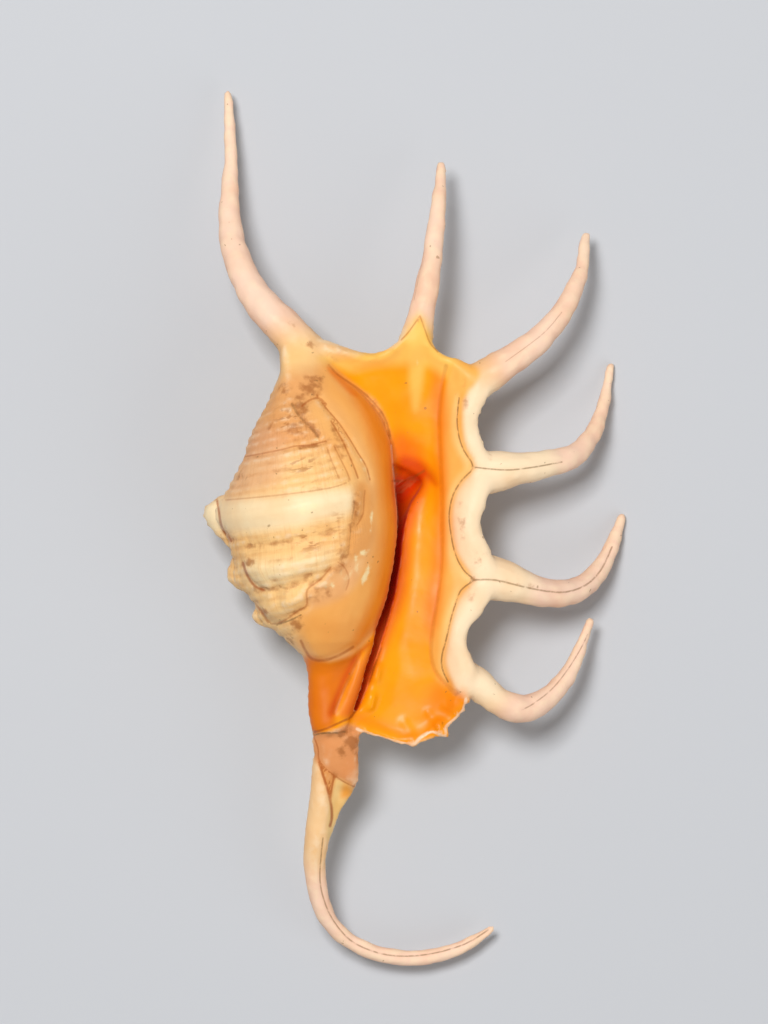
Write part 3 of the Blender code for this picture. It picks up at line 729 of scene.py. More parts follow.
    soil: tuple[Stain, ...] = (
        Stain((311, 388), (12, 11), -10, 1.0), Stain((318, 381), (9, 6), -20, 0.8),
        Stain((301, 407), (8, 12), -35, 0.95), Stain((312, 428), (12, 5), 45, 0.9),
        Stain((296, 430), (16, 10), 0, 0.6), Stain((284, 390), (10, 12), 30, 0.45),
        Stain((270, 425), (4, 8), 10, 0.6), Stain((240, 475), (12, 10), 0, 0.45),
        Stain((310, 446), (16, 3), -5, 0.8), Stain((338, 440), (10, 30), -28, 0.5),
        Stain((354, 512), (5, 26), 8, 0.65), Stain((345, 552), (12, 10), -10, 0.55),
        Stain((322, 592), (16, 9), -25, 0.55), Stain((338, 566), (14, 8), -30, 0.55),
        Stain((250, 562), (6, 5), 0, 0.7), Stain((256, 590), (7, 3), 30, 0.5),
        Stain((226, 535), (6, 9), -20, 0.6), Stain((264, 612), (6, 5), 30, 0.7),
        Stain((298, 624), (10, 8), 0, 0.95), Stain((290, 640), (7, 8), 0, 0.6),
        Stain((352, 742), (8, 14), -15, 1.15), Stain((345, 733), (9, 5), 0, 1.1),
        Stain((341, 752), (8, 9), 0, 0.7), Stain((310, 345), (10, 6), 30, 0.45),
        Stain((290, 325), (8, 5), 30, 0.4), Stain((480, 560), (10, 14), 0, 0.35),
        Stain((470, 592), (7, 12), 0, 0.45), Stain((455, 690), (9, 6), 30, 0.4),
        Stain((490, 456), (10, 6), 0, 0.35), Stain((465, 400), (5, 26), 0, 0.35),
        Stain((462, 520), (6, 26), 0, 0.4), Stain((520, 585), (34, 5), 6, 0.35),
    )
    scuffs: tuple[Stain, ...] = (
        Stain((304, 465), (20, 9), -8, 1.0), Stain((312, 484), (22, 7), -8, 0.6),
        Stain((309, 540), (15, 15), -10, 1.0), Stain((290, 588), (16, 8), -12, 0.6),
        Stain((338, 525), (12, 24), 0, 0.6), Stain((290, 420), (22, 20), 0, 0.8),
    )
    # Pale chalky flakes, and painted highlights where light glints on the body, the callus and the glaze.
    flakes_and_highlights: tuple[Stain, ...] = (
        Stain((328, 582), (16, 9), -25, 0.5), Stain((346, 574), (8, 8), 0, 0.5),
        Stain((366, 574), (3.5, 18), 22, 0.85), Stain((356, 564), (4, 13), -12, 0.7),
        Stain((364, 552), (8, 4), -10, 0.7), Stain((334, 586), (4, 4), 0, 0.85),
        Stain((371, 520), (2.5, 16), 4, 0.7), Stain((365, 468), (2.5, 13), -24, 0.8),
        Stain((316, 440), (4, 2.5), 0, 0.9), Stain((307, 508), (13, 12), 0, 0.75),
        Stain((332, 352), (7, 3), 20, 0.7), Stain((418, 362), (3, 18), 0, 0.5),
    )

    pulls: tuple[Pull, ...] = (
        Pull((466, 700), (2.5, 1.5), 5.0),
        Pull((459, 712), (-2.5, -2.0), 5.0),
        Pull((446, 725), (-3.5, -2.0), 5.0),
        Pull((446, 735), (2.5, 2.5), 6.0),
        Pull((432, 733), (0.5, -4.0), 7.0),
        Pull((413, 745), (0.0, 2.5), 8.0),
    )

    # Where the spiral cords show on the open side.
    corded_px: tuple[Place, ...] = (
        (268, 392), (300, 400), (330, 440), (348, 480), (364, 500), (360, 540), (338, 572), (304, 606),
        (292, 640), (240, 640), (180, 540), (190, 470), (240, 410),
    )
    # Where the body ends and the digits start.
    trunk_px: tuple[Place, ...] = (
        (262, 360), (290, 340), (345, 335), (402, 335), (436, 338), (478, 358), (490, 420), (500, 470),
        (495, 560), (500, 600), (492, 690), (455, 740), (360, 790), (345, 850), (305, 850), (295, 720),
        (200, 560), (190, 500), (235, 420),
    )

    @property
    def lines(self) -> dict[LineKind, tuple[Line, ...]]:
        """The drawn lines by kind."""
        return {LineKind.SEAM: self.seams, LineKind.FOLD: self.folds, LineKind.EDGE: self.edges}

    @property
    def stains(self) -> dict[StainKind, tuple[Stain, ...]]:
        """The stains by kind."""
        return {StainKind.SOIL: self.soil, StainKind.SCUFF: self.scuffs, StainKind.FLAKE_AND_HIGHLIGHT: self.flakes_and_highlights}


@dataclass
class Points:
    """The skin's points and what is known about each: one row or value for each point."""

    places: np.ndarray
    normals: np.ndarray
    pixels: np.ndarray
    closed: np.ndarray
    front: np.ndarray
    glazed: np.ndarray
    digit: np.ndarray
    rough: np.ndarray
    cords: np.ndarray
    angle: np.ndarray
    radius: np.ndarray


@dataclass
class ShellSkin:
    """The shell's fine skin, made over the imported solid, sculpted and painted point by point."""

    view: PhotoView
    paint: ShellPaint = field(default_factory=ShellPaint)
    coil: Coil = field(default_factory=Coil)
    weld_m: float = 1e-6
    voxel: float = 0.43
    fairing_rounds: int = 5
    relax: float = 0.6
    restore: float = -0.63

    # The rays that find how closed in a place is. A hit at full reach counts far_loss less than a near one.
    rays: int = 5
    ray_reach: float = 14.0
    ray_start: float = 0.25
    ray_lean: float = 0.75
    ray_seed: int = 3
    far_loss: float = 0.5

    # What a place belongs to, from its normal's Z, how closed in it is, its Y or its depth in an outline.
    facing_front: Place = (-0.15, 0.3)
    open_to_front: Place = (0.97, 0.6)
    sheltered: Place = (0.9, 0.5)
    glaze_from: float = 0.48
    digit_px: Place = (6.0, -30.0)
    corded_edge_px: Place = (-8.0, 10.0)
    canal_y: Place = (-34.0, -48.0)
    canal_fade: float = 0.7

    # The relief: cords, growth lines and lumps.
    cord_height: float = 0.13
    cord_waves: Waves = Waves(9.0, 23)
    cord_change: float = 0.5
    front_fade: float = 0.6
    growth_height: float = 0.05
    growth_waves: Waves = Waves(1.6, 5)
    growth_stretch: Place = (0.35, 0.2)
    lump_height: float = 0.10
    lump_waves: Waves = Waves(7.0, 11)
    lumps_on_glaze: float = 0.35
    digit_lump_height: float = 0.09
    digit_waves: Waves = Waves(4.0, 17)
    # Up to this height the skin stays nearer to the solid, because the shell rests there.
    resting_height: float = 0.6
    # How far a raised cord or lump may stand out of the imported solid's box.
    over_box: float = 0.6
    line_reach_px: float = 34.0
    # Within this distance of a line the way to it is stored as it is, so that thin lines stay whole.
    exact_px: float = 2.5
    beyond_growth: float = 4.0

    # The paint: where digits face up, for the painted shade on their sides; where the slit is deep, for its
    # painted shade; and the rows where that red turns to orange.
    chalk_gloss: float = 0.36
    digit_shade_facing: Place = (0.1, 0.9)
    deep_shade_in: Place = (0.55, 0.95)
    slit_end_px: Place = (585.0, 655.0)
    # Wide and narrow hollows are painted darker brown, and narrow ridges are worn. More rounds take a wider
    # look.
    wide_rounds: int = 14
    wide_hollows: Place = (0.04, 0.30)
    narrow_rounds: int = 3
    narrow_hollows: Place = (0.015, 0.09)
    narrow_share: float = 0.6
    deep_spared: float = 0.7
    worn_ridges: Place = (-0.02, -0.10)
    # The radius that turns angles into lengths along the cords for the material.
    mean_radius: float = 14.0

    def fine_copy(self) -> bpy.types.Object:
        """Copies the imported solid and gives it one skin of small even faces.

        Returns:
            The new object, with its modifiers applied.
        """
        shape = bmesh.new()
        shape.from_mesh(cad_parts["shell"].data)
        bmesh.ops.remove_doubles(shape, verts=shape.verts, dist=self.weld_m)
        bmesh.ops.recalc_face_normals(shape, faces=shape.faces)
        mesh = bpy.data.meshes.new("conch_shell")
        shape.to_mesh(mesh)
        shape.free()
        skin = link("conch_shell", mesh)
        remesh = skin.modifiers.new("even_faces", "REMESH")
        remesh.mode = "VOXEL"
        remesh.voxel_size = self.voxel * MM
        for number in range(self.fairing_rounds):
            for name, factor in (("relax", self.relax), ("restore", self.restore)):
                step = skin.modifiers.new(f"{name}_{number}", "SMOOTH")
                step.factor = factor
                step.iterations = 1
        graph = bpy.context.evaluated_depsgraph_get()
        fine = bpy.data.meshes.new_from_object(skin.evaluated_get(graph))
        fine.name = "conch_shell"
        skin.modifiers.clear()
        skin.data = fine
        return skin

    def read(self, mesh: bpy.types.Mesh) -> tuple[np.ndarray, np.ndarray]:
        """Reads a mesh's places and normals in millimetres.

        Args:
            mesh: The mesh to read.

        Returns:
            Places and normals, one row for each point.
        """
        places = np.empty(len(mesh.vertices) * 3)
        mesh.vertices.foreach_get("co", places)
        normals = np.empty(len(mesh.vertices) * 3)
        mesh.vertices.foreach_get("normal", normals)
        return places.reshape(-1, 3) / MM, normals.reshape(-1, 3)

    def closed_in(self, skin: bpy.types.Object, places: np.ndarray, normals: np.ndarray) -> np.ndarray:
        """Finds how closed in each point is, from rays that leave the skin.

        Args:
            skin: The object that the rays may meet.
            places: Places in millimetres.
            normals: Normals at those places.

        Returns:
            0 where every ray is free, and 1 where all of them meet the skin at once.
        """
        tree = BVHTree.FromObject(skin, bpy.context.evaluated_depsgraph_get())
        draw = np.random.default_rng(self.ray_seed)
        total = np.zeros(len(places))
        reach = self.ray_reach * MM
        for _ in range(self.rays):
            lean = draw.normal(size=3)
            lean *= self.ray_lean / np.linalg.norm(lean)
            headings = normals + lean
            starts = (places + normals * self.ray_start) * MM
            hits = [tree.ray_cast(s, h, reach)[3] for s, h in zip(starts.tolist(), headings.tolist())]
            total += np.array([0.0 if hit is None else 1.0 - self.far_loss * hit / reach for hit in hits])
        return total / self.rays

    def hollowness(self, mesh: bpy.types.Mesh, rounds: int) -> np.ndarray:
        """Measures how far each point lies under the mean of its neighbours.

        Args:
            mesh: The mesh.
            rounds: How often the mean is taken, for a wider or narrower look.

        Returns:
            Millimetres for each point, more than 0 in hollows and less than 0 on ridges.
        """
        places, normals = self.read(mesh)
        ends = np.empty(len(mesh.edges) * 2, np.int32)
        mesh.edges.foreach_get("vertices", ends)
        first, second = ends.reshape(-1, 2).T
        count = len(places)
        share = np.bincount(first, minlength=count) + np.bincount(second, minlength=count)
        mean = places
        for _ in range(rounds):
            columns = [
                np.bincount(first, mean[second, k], count) + np.bincount(second, mean[first, k], count)
                for k in range(3)
            ]
            mean = np.column_stack(columns) / np.maximum(share, 1)[:, None]
        return np.einsum("ij,ij->i", mean - places, normals)

    def survey(self, skin: bpy.types.Object) -> Points:
        """Finds out what each point of the skin is part of.

        Args:
            skin: The skin before it is sculpted.

        Returns:
            The points.
        """
        places, normals = self.read(skin.data)
        pixels = self.view.pixels(places)
        closed = self.closed_in(skin, places, normals)
        front = smooth_step(*self.facing_front, normals[:, 2]) * smooth_step(*self.open_to_front, closed)
        glazed = np.zeros(len(places))
        for region in self.paint.regions:
            if region.gloss > self.glaze_from:
                glazed = np.maximum(glazed, region.share(pixels))
        glazed *= front
        trunk = rounded(self.paint.trunk_px, closed=True)
        digit = smooth_step(*self.digit_px, depth_inside(trunk, pixels))
        body = rounded(self.paint.corded_px, closed=True)
        corded = front * smooth_step(*self.corded_edge_px, depth_inside(body, pixels)) + 1 - front
        corded *= 1 - self.canal_fade * smooth_step(*self.canal_y, places[:, 1])
        rough = corded * (1 - glazed) * (1 - digit) * smooth_step(*self.sheltered, closed)
        return Points(
            places, normals, pixels, closed, front, glazed, digit, rough,
            self.coil.cords(places), self.coil.angle(places), self.coil.radius(places),
        )

    def sculpt(self, skin: bpy.types.Object, points: Points) -> None:
        """Raises the cords, growth lines and lumps, cuts the grooves and jags the lip's edge.

        Args:
            skin: The skin to move.
            points: Its points.
        """
        arc = np.radians(points.angle) * points.radius
        across, outward = self.growth_stretch
        grown = np.column_stack((arc, points.cords * across, points.radius * outward))
        cord_share = (1 - self.front_fade * points.front) * (1 + self.cord_change * self.cord_waves.at(grown))
        lift = self.cord_height * cord_share * points.rough * np.cos(2 * math.pi * points.cords)
        lift += self.growth_height * points.rough * self.growth_waves.at(grown)
        lumpy = self.lumps_on_glaze + (1 - self.lumps_on_glaze) * (1 - points.glazed)
        lift += self.lump_height * lumpy * self.lump_waves.at(points.places)
        lift += self.digit_lump_height * points.digit * self.digit_waves.at(points.places)
        for lines in self.paint.lines.values():
            for line in lines:
                distance = way_to(rounded(line.points_px), points.pixels, self.line_reach_px)[0]
                lift -= points.front * line.groove * np.exp(-((distance / line.groove_px) ** 2))
        resting = smooth_step(0.0, self.resting_height, points.places[:, 2])
        moved = points.places + points.normals * (lift * resting)[:, None]
        for pull in self.paint.pulls:
            moves = pull.moves(points.pixels) * self.view.pixel
            moved[:, 0] += moves[:, 0]
            moved[:, 1] -= moves[:, 1]
        low, high = (np.array(corner) / MM for corner in cad_box)
        low[:2] -= self.over_box
        moved = np.clip(moved, low, high + self.over_box)
        skin.data.vertices.foreach_set("co", (moved * MM).ravel())
        skin.data.update()
        points.pixels = self.view.pixels(moved)

    def colour(self, skin: bpy.types.Object, points: Points) -> None:
        """Writes the paint on the skin's points as attributes.

        Args:
            skin: The sculpted skin.
            points: Its points.
        """
        count = len(points.places)
        # Painted shade: digits are paler where they face up, and rosier and darker on their sides.
        up = smooth_step(*self.digit_shade_facing, points.normals[:, 2])[:, None]
        shaded_digit_tint = np.array(DIGIT_SIDE_SHADE) * (1 - up) + np.array(ROSE_CREAM) * up
        back = (1 - points.front)[:, None]
        tint = np.array(CREAM) * (1 - back) + np.array(BACK_CREAM) * back
        out = points.digit[:, None]
        tint = tint * (1 - out) + shaded_digit_tint * out
        gloss = np.full(count, self.chalk_gloss)
        for region in self.paint.regions:
            share = region.share(points.pixels) * points.front
            tint = tint * (1 - share[:, None]) + np.array(region.tint) * share[:, None]
            gloss = gloss * (1 - share) + region.gloss * share
        # Partly painted shade: closed-in places, the slit most of all, take the throat's deep red, turning
        # orange towards the slit's lower end.
        inner = smooth_step(*self.deep_shade_in, points.closed)[:, None]
        low_end = smooth_step(*self.slit_end_px, points.pixels[:, 1])[:, None]
        deep = np.array(THROAT_RED_AND_SHADE) * (1 - low_end) + np.array(SLIT_ORANGE) * low_end
        tint = tint * (1 - inner) + deep * inner
        # Darker brown in wide and narrow hollows, from how far each point lies under its neighbours.
        wide = self.hollowness(skin.data, self.wide_rounds)
        narrow = self.hollowness(skin.data, self.narrow_rounds)
        keep = (1 - points.glazed) * (1 - self.deep_spared * inner[:, 0])
        hollow_darkening = smooth_step(*self.wide_hollows, wide) + smooth_step(*self.narrow_hollows, narrow) * self.narrow_share
        arc = np.radians(points.angle) * self.mean_radius
        values = {
            "tint": tint, "gloss": gloss, "hollow_darkening": np.clip(keep * hollow_darkening, 0, 1),
            "worn": keep * smooth_step(*self.worn_ridges, narrow),
            "glazed": points.glazed, "rough": points.rough, "back": back[:, 0],
            "coil": np.column_stack((points.cords, arc, points.radius)),
        }
        for kind, spots in self.paint.stains.items():
            shares = [spot.share(points.pixels) * points.front for spot in spots]
            values[kind.value] = np.max(shares, axis=0)
        for name, rows in values.items():
            self.store(skin.data, name, rows)
        for kind in LineKind:
            self.draw_lines(skin.data, points, kind)

    def draw_lines(self, mesh: bpy.types.Mesh, points: Points, kind: LineKind) -> None:
        """Stores the way to the nearest line of one kind, in half widths, and that line's ink.

        Args:
            mesh: The mesh to store it on.
            points: The mesh's points.
            kind: Which lines.
        """
        reach = self.line_reach_px
        far = self.beyond_growth * reach
        best = np.full(len(points.places), far)
        ways = np.tile((0.0, 0.0, far), (len(points.places), 1))
        ink = np.zeros(len(points.places))
        for line in self.paint.lines[kind]:
            distance, steps = way_to(rounded(line.points_px), points.pixels, reach)
            scaled = distance / line.half_width_px
            beyond = np.maximum(distance - self.exact_px, 0.0) * self.beyond_growth
            nearer = (scaled < best) & (distance < reach)
            best[nearer] = scaled[nearer]
            ways[nearer, :2] = steps[nearer] / line.half_width_px
            ways[nearer, 2] = beyond[nearer] / line.half_width_px
            ink[nearer] = line.ink
        self.store(mesh, f"{kind.value}_way", ways)
        self.store(mesh, f"{kind.value}_ink", ink * points.front)

    def store(self, mesh: bpy.types.Mesh, name: str, values: np.ndarray) -> None:
        """Stores one attribute on a mesh's points.

        Args:
            mesh: The mesh.
            name: The attribute's name.
            values: One value or one row of three for each point.
        """
        kind, key = ("FLOAT", "value") if values.ndim == 1 else ("FLOAT_VECTOR", "vector")
        attribute = mesh.attributes.new(name, kind, "POINT")
        attribute.data.foreach_set(key, np.ascontiguousarray(values, np.float32).ravel())

    def make(self) -> bpy.types.Object:
        """Builds, sculpts and paints the skin.

        Returns:
            The finished piece.
        """
        skin = self.fine_copy()
        points = self.survey(skin)
        self.sculpt(skin, points)
        self.colour(skin, points)
        skin.data.materials.clear()
        skin.data.materials.append(ShellFinish().material())
        skin.data.shade_smooth()
        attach(skin, "root")
        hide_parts("shell")
        return skin


class Nodes:
    """A short way to write a material's nodes."""

    def __init__(self, name: str) -> None:
        """Starts a material with one Principled shader.

        Args:
            name: The material's name.
        """
        self.material = bpy.data.materials.new(name)
        self.material.use_nodes = True
        self.tree = self.material.node_tree
        self.shader = self.tree.nodes["Principled BSDF"]

    def give(self, socket: Socket, value: object) -> None:
        """Joins another socket to a socket, or sets its value.

        Args:
            socket: The socket to set.
            value: The other socket, or the value.
        """
        if isinstance(value, Socket):
            self.tree.links.new(value, socket)
        else:
            socket.default_value = value

    def add(self, kind: str, inputs: dict | None = None, **settings: object) -> bpy.types.Node:
        """Adds a node, sets it and joins its inputs.

        Args:
            kind: The node's type.
            inputs: Values or sockets by input name or number.
            settings: The node's own settings.

        Returns:
            The node.
        """
        node = self.tree.nodes.new(kind)
        for name, value in settings.items():
            setattr(node, name, value)
        for name, value in (inputs or {}).items():
            self.give(node.inputs[name], value)
        return node

    def attribute(self, name: str, output: str = "Fac") -> Socket:
        """Reads an attribute of the mesh."""
        return self.add("ShaderNodeAttribute", attribute_name=name).outputs[output]

    def sum(self, kind: str, *values: object) -> Socket:
        """Works out one sum, such as ADD or MULTIPLY, of its values."""
        return self.add("ShaderNodeMath", dict(enumerate(values)), operation=kind).outputs[0]

    def product(self, first: object, *others: object) -> Socket:
        """Multiplies values with each other.

        Args:
            first: The first value.
            others: The other values.

        Returns:
            The product's socket.
        """
        for other in others:
            first = self.sum("MULTIPLY", first, other)
        return first

    def step(self, value: object, low: float, high: float) -> Socket:
        """Eases a value from 0 at low to 1 at high."""
        inputs = {"Value": value, "From Min": low, "From Max": high}
        return self.add("ShaderNodeMapRange", inputs, interpolation_type="SMOOTHSTEP").outputs["Result"]

    def blend(self, share: object, first: object, second: Colour, kind: str = "MIX") -> Socket:
        """Blends a colour into another.

        Args:
            share: How much of the second colour.
            first: The first colour's socket.
            second: The second colour.
            kind: How they blend.

        Returns:
            The blended colour's socket.
        """
        inputs = {0: share, 6: first, 7: (*second, 1)}
        return self.add("ShaderNodeMix", inputs, data_type="RGBA", blend_type=kind).outputs[2]

    def to_shader(self, values: dict[str, object]) -> None:
        """Joins sockets to the shader, or sets values there."""
        for name, value in values.items():
            self.give(self.shader.inputs[name], value)


@dataclass(frozen=True)
class Ground:
    """What each layer of the shell's colour and relief reads.

    coil holds the cord's number, the way round and the radius. rough, back and chalky say how corded a place
    is, how much it faces back, and how far it is from any glaze.
    """

    nodes: Nodes
    where: Socket
    coil: Socket
    rough: Socket
    back: Socket
    chalky: Socket

    def noise(self, scale: float | Colour, detail: float) -> Socket:
        """Adds a noise over the shell, or one that is stretched along the coil if the scale has three values.

        Args:
            scale: Waves to a metre, or waves along the coil's three values.
            detail: How fine its smallest waves are.

        Returns:
            The noise's socket.
        """
        inputs = {"Vector": self.where, "Scale": scale, "Detail": detail}
        if isinstance(scale, tuple):
            stretch = self.nodes.add("ShaderNodeMapping", {"Vector": self.coil, "Scale": scale})
            inputs.update({"Vector": stretch.outputs["Vector"], "Scale": 1.0})
        return self.nodes.add("ShaderNodeTexNoise", inputs).outputs["Fac"]

    def stain(self, kind: StainKind, grit: Socket, eased: Place, within: Place) -> Socket:
        """Gives how much of a gritty stain a place takes.

        Args:
            kind: Which stains.
            grit: What breaks them up.
            eased: Where stain and grit together start and are full.
            within: Where the stain itself starts and is full.

        Returns:
            The share's socket.
        """
        nodes = self.nodes
        painted = nodes.attribute(kind.value)
        gritty = nodes.step(nodes.sum("ADD", painted, grit), *eased)
        return nodes.product(gritty, nodes.step(painted, *within))


@dataclass(frozen=True)
class Pattern:
    """A noise that is eased from 0 to 1 between two of its values."""

    scale: float | Colour
    detail: float
    low: float
    high: float

    def on(self, ground: Ground) -> Socket:
        """Adds the pattern to a material."""
        return ground.nodes.step(ground.noise(self.scale, self.detail), self.low, self.high)


@dataclass(frozen=True)
class Ink:
    """How one kind of line is drawn.

    Its ink starts at outer and is full at inner, in half widths. whole is the share that no gap takes away.
    """

    kind: LineKind
    colour: Colour
    outer: float
    inner: float
    whole: float

    def share(self, ground: Ground, broken: Socket) -> Socket:
        """Gives how much of the ink a place takes.

        Args:
            ground: What the layer reads.
            broken: Where the line has its gaps.

        Returns:
            The share's socket.
        """
        nodes = ground.nodes
        way = nodes.attribute(f"{self.kind.value}_way", "Vector")
        length = nodes.add("ShaderNodeVectorMath", {0: way}, operation="LENGTH").outputs["Value"]
        kept = nodes.sum("MULTIPLY_ADD", broken, 1 - self.whole, self.whole)
        return nodes.product(
            nodes.step(length, self.outer, self.inner), nodes.attribute(f"{self.kind.value}_ink"), kept
        )


@dataclass(frozen=True)
class ShellFinish:
    """The shell's surface: chalky and corded outside, and a smooth glaze round the opening.

    A plain noise is given by its waves to a metre and its detail.
    """

    ior: float = 1.45
    specular: float = 0.24
    rough_at_dull: float = 0.70
    gloss_pull: float = -0.56
    dull_noise: Place = (420.0, 4.0)
    dull_change: float = 0.3
    bump_depth: float = 0.16
    bump_strength: float = 0.6

    cloud: Pattern = Pattern(110.0, 5.0, 0.36, 0.68)
    cloud_share: float = 0.30
    worn: Pattern = Pattern(620.0, 4.0, 0.3, 0.6)
    worn_share: float = 0.5
    hollow_darkening: Pattern = Pattern(620.0, 4.0, 0.34, 0.62)
    hollow_darkening_share: float = 0.62
    speck: Pattern = Pattern(950.0, 1.0, 0.75, 0.79)
    speck_share: float = 0.5

    # The gaps between cords, by the wave that a cord's number makes, and the dashes and growth lines.
    cord_gap: Place = (0.2, -0.9)
    cord_gap_change: Pattern = Pattern((0.8, 0.22, 0.1), 3.0, 0.36, 0.62)
    cord_gap_share: float = 0.24
    dash: Pattern = Pattern((2.4, 0.3, 0.1), 4.0, 0.56, 0.68)
    dashed_zone: Pattern = Pattern((0.15, 0.12, 0.1), 2.0, 0.45, 0.62)
    dash_share: float = 0.12
    dash_more_behind: float = 0.4
    growth: Pattern = Pattern((0.12, 1.9, 0.1), 5.0, 0.5, 0.7)
    growth_share: float = 0.24

    # The blotches behind, which also stand a little outside their patches.
    patch: Pattern = Pattern(75.0, 3.0, 0.44, 0.66)
    blotch: Pattern = Pattern((0.8, 0.35, 0.1), 4.0, 0.48, 0.64)
    blotch_least: float = 0.25
    blotch_share: float = 0.75

    # The stains: grit breaks up soil, pale flakes and painted highlights, and a scuff's dashes follow
    # the cords. Each pair of steps eases the stain with its grit, and then the stain alone.
    grit_noise: Place = (760.0, 6.0)
    grit_change: float = 2.2
    soil_steps: tuple[Place, Place] = ((0.2, 1.0), (0.05, 0.4))
    soil_share: float = 0.75
    scuff: Pattern = Pattern((2.2, 0.5, 0.1), 4.0, 0.5, 0.62)
    scuff_within: Place = (0.15, 0.9)
    scuff_share: float = 0.6
    flake_and_highlight_steps: tuple[Place, Place] = ((0.35, 1.1), (0.1, 0.5))
    flake_and_highlight_share: float = 0.85

    # The fine relief, in shares of bump_depth: grain along and across the cords, chalky grit, crusted soil,
    # soft unevenness and the seams.
    cord_grain: Colour = (3.0, 0.4, 0.1)
    growth_grain: Colour = (0.3, 3.2, 0.1)
    grain_detail: float = 4.0
    grain_depth: float = 1.2
    chalk_noise: Place = (1100.0, 4.0)
    chalk_depth: float = 0.45
    crust_noise: Place = (520.0, 5.0)
    crust_depth: float = 2.0
    uneven_noise: Place = (260.0, 3.0)
    uneven_depth: float = 0.5
    seam_depth: float = -0.7

    line_gaps: Pattern = Pattern(1000.0, 4.0, 0.22, 0.56)
    inks: tuple[Ink, ...] = (
        Ink(LineKind.EDGE, EDGE_CREAM, 1.8, 0.4, 0.4),
        Ink(LineKind.FOLD, FOLD_BROWN, 2.2, 0.3, 0.6),
        Ink(LineKind.SEAM, SEAM_BROWN, 1.6, 0.5, 0.0),
    )

    def material(self) -> bpy.types.Material:
        """Makes the shell's material from the painted attributes and procedural detail.

        Returns:
            The material.
        """
        nodes = Nodes("glazed_shell")
        where = nodes.add("ShaderNodeTexCoord").outputs["Object"]
        coil = nodes.attribute("coil", "Vector")
        chalky = nodes.sum("SUBTRACT", 1.0, nodes.attribute("glazed"))
        ground = Ground(nodes, where, coil, nodes.attribute("rough"), nodes.attribute("back"), chalky)

        cloud = nodes.product(self.cloud.on(ground), self.cloud_share)
        colour = nodes.blend(cloud, nodes.attribute("tint", "Vector"), CLOUD, "MULTIPLY")
        colour = self.cord_colours(ground, colour)
        colour = self.back_colours(ground, colour)
        worn = nodes.product(nodes.attribute("worn"), self.worn.on(ground), self.worn_share)
        colour = nodes.blend(worn, colour, PALE_CREAM)
        hollow_darkening = nodes.product(nodes.attribute("hollow_darkening"), self.hollow_darkening.on(ground), self.hollow_darkening_share)
        colour = nodes.blend(hollow_darkening, colour, STAIN_BROWN)
        colour = self.stain_colours(ground, colour)
        colour = nodes.blend(nodes.product(self.speck.on(ground), self.speck_share), colour, SEAM_BROWN)
        broken = self.line_gaps.on(ground)
        drawn = {ink.kind: ink.share(ground, broken) for ink in self.inks}
        for ink in self.inks:
            colour = nodes.blend(drawn[ink.kind], colour, ink.colour)

        change = nodes.product(nodes.sum("SUBTRACT", ground.noise(*self.dull_noise), 0.5), self.dull_change)
        level = nodes.sum("MULTIPLY_ADD", nodes.attribute("gloss"), self.gloss_pull, self.rough_at_dull)
        nodes.to_shader({
            "Base Color": colour, "Roughness": nodes.sum("ADD", level, change), "IOR": self.ior,
            "Specular IOR Level": self.specular, "Normal": self.bump(ground, drawn[LineKind.SEAM]),
        })
        return nodes.material

    def cord_colours(self, ground: Ground, colour: Socket) -> Socket:
        """Colours the gaps between the spiral cords, with dashes, and the growth lines across them.

        Args:
            ground: What the layer reads.
            colour: The colour so far.

        Returns:
            The new colour.
        """
        nodes, rough = ground.nodes, ground.rough
        number = nodes.add("ShaderNodeSeparateXYZ", {0: ground.coil}).outputs[0]
        gap = nodes.step(nodes.sum("COSINE", nodes.product(number, 2 * math.pi)), *self.cord_gap)
        gap = nodes.product(gap, self.cord_gap_change.on(ground), rough, self.cord_gap_share)
        colour = nodes.blend(gap, colour, TAN)
        most = nodes.sum("MULTIPLY_ADD", ground.back, self.dash_more_behind, self.dash_share)
        dash = nodes.product(self.dash.on(ground), rough, self.dashed_zone.on(ground), most)
        colour = nodes.blend(dash, colour, STAIN_BROWN)
        return nodes.blend(nodes.product(self.growth.on(ground), rough, self.growth_share), colour, TAN)

    def back_colours(self, ground: Ground, colour: Socket) -> Socket:
        """Mottles the back, with blotches that follow the cords.

        Args:
            ground: What the layer reads.
            colour: The colour so far.

        Returns:
            The new colour.
        """
        nodes = ground.nodes
        patch = nodes.sum("MAXIMUM", self.patch.on(ground), self.blotch_least)
        share = nodes.product(patch, self.blotch.on(ground), ground.back, ground.chalky, self.blotch_share)
        return nodes.blend(share, colour, BLOTCH_BROWN)

    def stain_colours(self, ground: Ground, colour: Socket) -> Socket:
        """Adds the soil, the dashes worn along the cords, and the pale flakes and painted highlights.

        Args:
            ground: What the layer reads.
            colour: The colour so far.

        Returns:
            The new colour.
        """
        nodes = ground.nodes
        grit = nodes.product(nodes.sum("SUBTRACT", ground.noise(*self.grit_noise), 0.5), self.grit_change)
        soil = ground.stain(StainKind.SOIL, grit, *self.soil_steps)
        colour = nodes.blend(nodes.product(soil, self.soil_share), colour, STAIN_BROWN)
        scuffed = nodes.step(nodes.attribute(StainKind.SCUFF.value), *self.scuff_within)
        scuff = nodes.product(self.scuff.on(ground), scuffed, self.scuff_share)
        colour = nodes.blend(scuff, colour, STAIN_BROWN)
        # Pale flakes and painted highlights.
        flake_and_highlight = ground.stain(StainKind.FLAKE_AND_HIGHLIGHT, grit, *self.flake_and_highlight_steps)
        return nodes.blend(nodes.product(flake_and_highlight, self.flake_and_highlight_share), colour, FLAKE_AND_HIGHLIGHT_CREAM)

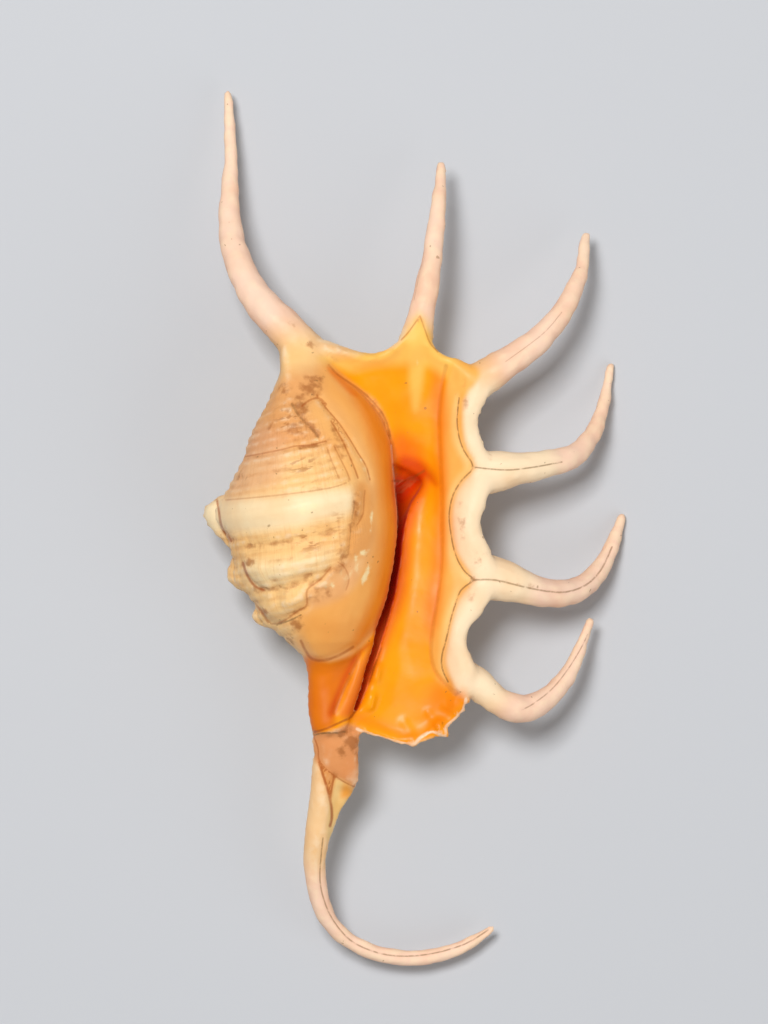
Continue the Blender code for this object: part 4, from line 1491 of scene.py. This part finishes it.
    def bump(self, ground: Ground, seam: Socket) -> Socket:
        """Makes the fine relief that is smaller than the skin's faces.

        Args:
            ground: What the layer reads.
            seam: Where the seams are.

        Returns:
            The normal's socket.
        """
        nodes = ground.nodes
        along, across = (ground.noise(s, self.grain_detail) for s in (self.cord_grain, self.growth_grain))
        soil = nodes.attribute(StainKind.SOIL.value)
        layers = (
            nodes.product(nodes.sum("ADD", along, across), ground.rough, self.grain_depth),
            nodes.product(ground.noise(*self.chalk_noise), ground.chalky, self.chalk_depth),
            nodes.product(ground.noise(*self.crust_noise), soil, self.crust_depth),
            nodes.product(ground.noise(*self.uneven_noise), self.uneven_depth),
            nodes.product(seam, self.seam_depth),
        )
        height = layers[0]
        for layer in layers[1:]:
            height = nodes.sum("ADD", height, layer)
        inputs = {"Strength": self.bump_strength, "Distance": self.bump_depth * MM, "Height": height}
        return nodes.add("ShaderNodeBump", inputs).outputs["Normal"]


@dataclass(frozen=True)
class SoftLight:
    """One soft square light: where it hangs and its side in metres, and its power in watts."""

    name: str
    place: Colour
    size: float
    power: float

    def add(self) -> None:
        """Adds the light to the scene, turned to the shell."""
        data = bpy.data.lights.new(self.name, "AREA")
        data.size = self.size
        data.energy = self.power
        light = link(self.name, data)
        light.location = self.place
        light.rotation_euler = Vector(self.place).to_track_quat("Z", "Y").to_euler()


@dataclass
class Studio:
    """A pale floor, soft lights and the camera. Its sizes are in metres."""

    view: PhotoView
    floor_size: float = 6.0
    floor_drop: float = 0.0001
    floor_tint: Colour = linear(200, 202, 206)
    floor_roughness: float = 0.8
    sky_strength: float = 0.27
    lights: tuple[SoftLight, ...] = (
        SoftLight("overhead_window", (-0.2, 0.26, 1.0), 0.3, 8.5),
        SoftLight("side_fill", (0.7, -0.5, 0.6), 0.8, 2.2),
    )

    def add_floor(self) -> None:
        """Adds the floor that the shell rests on, a hair under it so that no faces share a plane."""
        shape = bmesh.new()
        drop = Matrix.Translation((0.0, 0.0, -self.floor_drop))
        bmesh.ops.create_grid(shape, x_segments=1, y_segments=1, size=self.floor_size / 2, matrix=drop)
        mesh = bpy.data.meshes.new("floor")
        shape.to_mesh(mesh)
        shape.free()
        floor = link("floor", mesh)
        nodes = Nodes("pale_floor")
        nodes.to_shader({"Base Color": (*self.floor_tint, 1), "Roughness": self.floor_roughness})
        mesh.materials.append(nodes.material)

    def build(self) -> None:
        """Adds floor, lights, sky and camera."""
        self.add_floor()
        for light in self.lights:
            light.add()
        world = bpy.data.worlds.new("soft_sky")
        world.use_nodes = True
        sky = world.node_tree.nodes["Background"]
        sky.inputs["Color"].default_value = (1, 1, 1, 1)
        sky.inputs["Strength"].default_value = self.sky_strength
        bpy.context.scene.world = world
        bpy.context.scene.view_settings.view_transform = "Standard"
        self.view.add_camera()


def main() -> None:
    """Builds the shell's skin and the studio, and reports each piece."""
    logging.basicConfig(level=logging.INFO, format="%(name)s: %(message)s")
    view = PhotoView()
    skin = ShellSkin(view).make()
    log.info("%s: %d triangles", skin.name, sum(len(face.vertices) - 2 for face in skin.data.polygons))
    Studio(view).build()
    log.info("studio: floor, lights and camera")


if __name__ == "__main__":
    main()
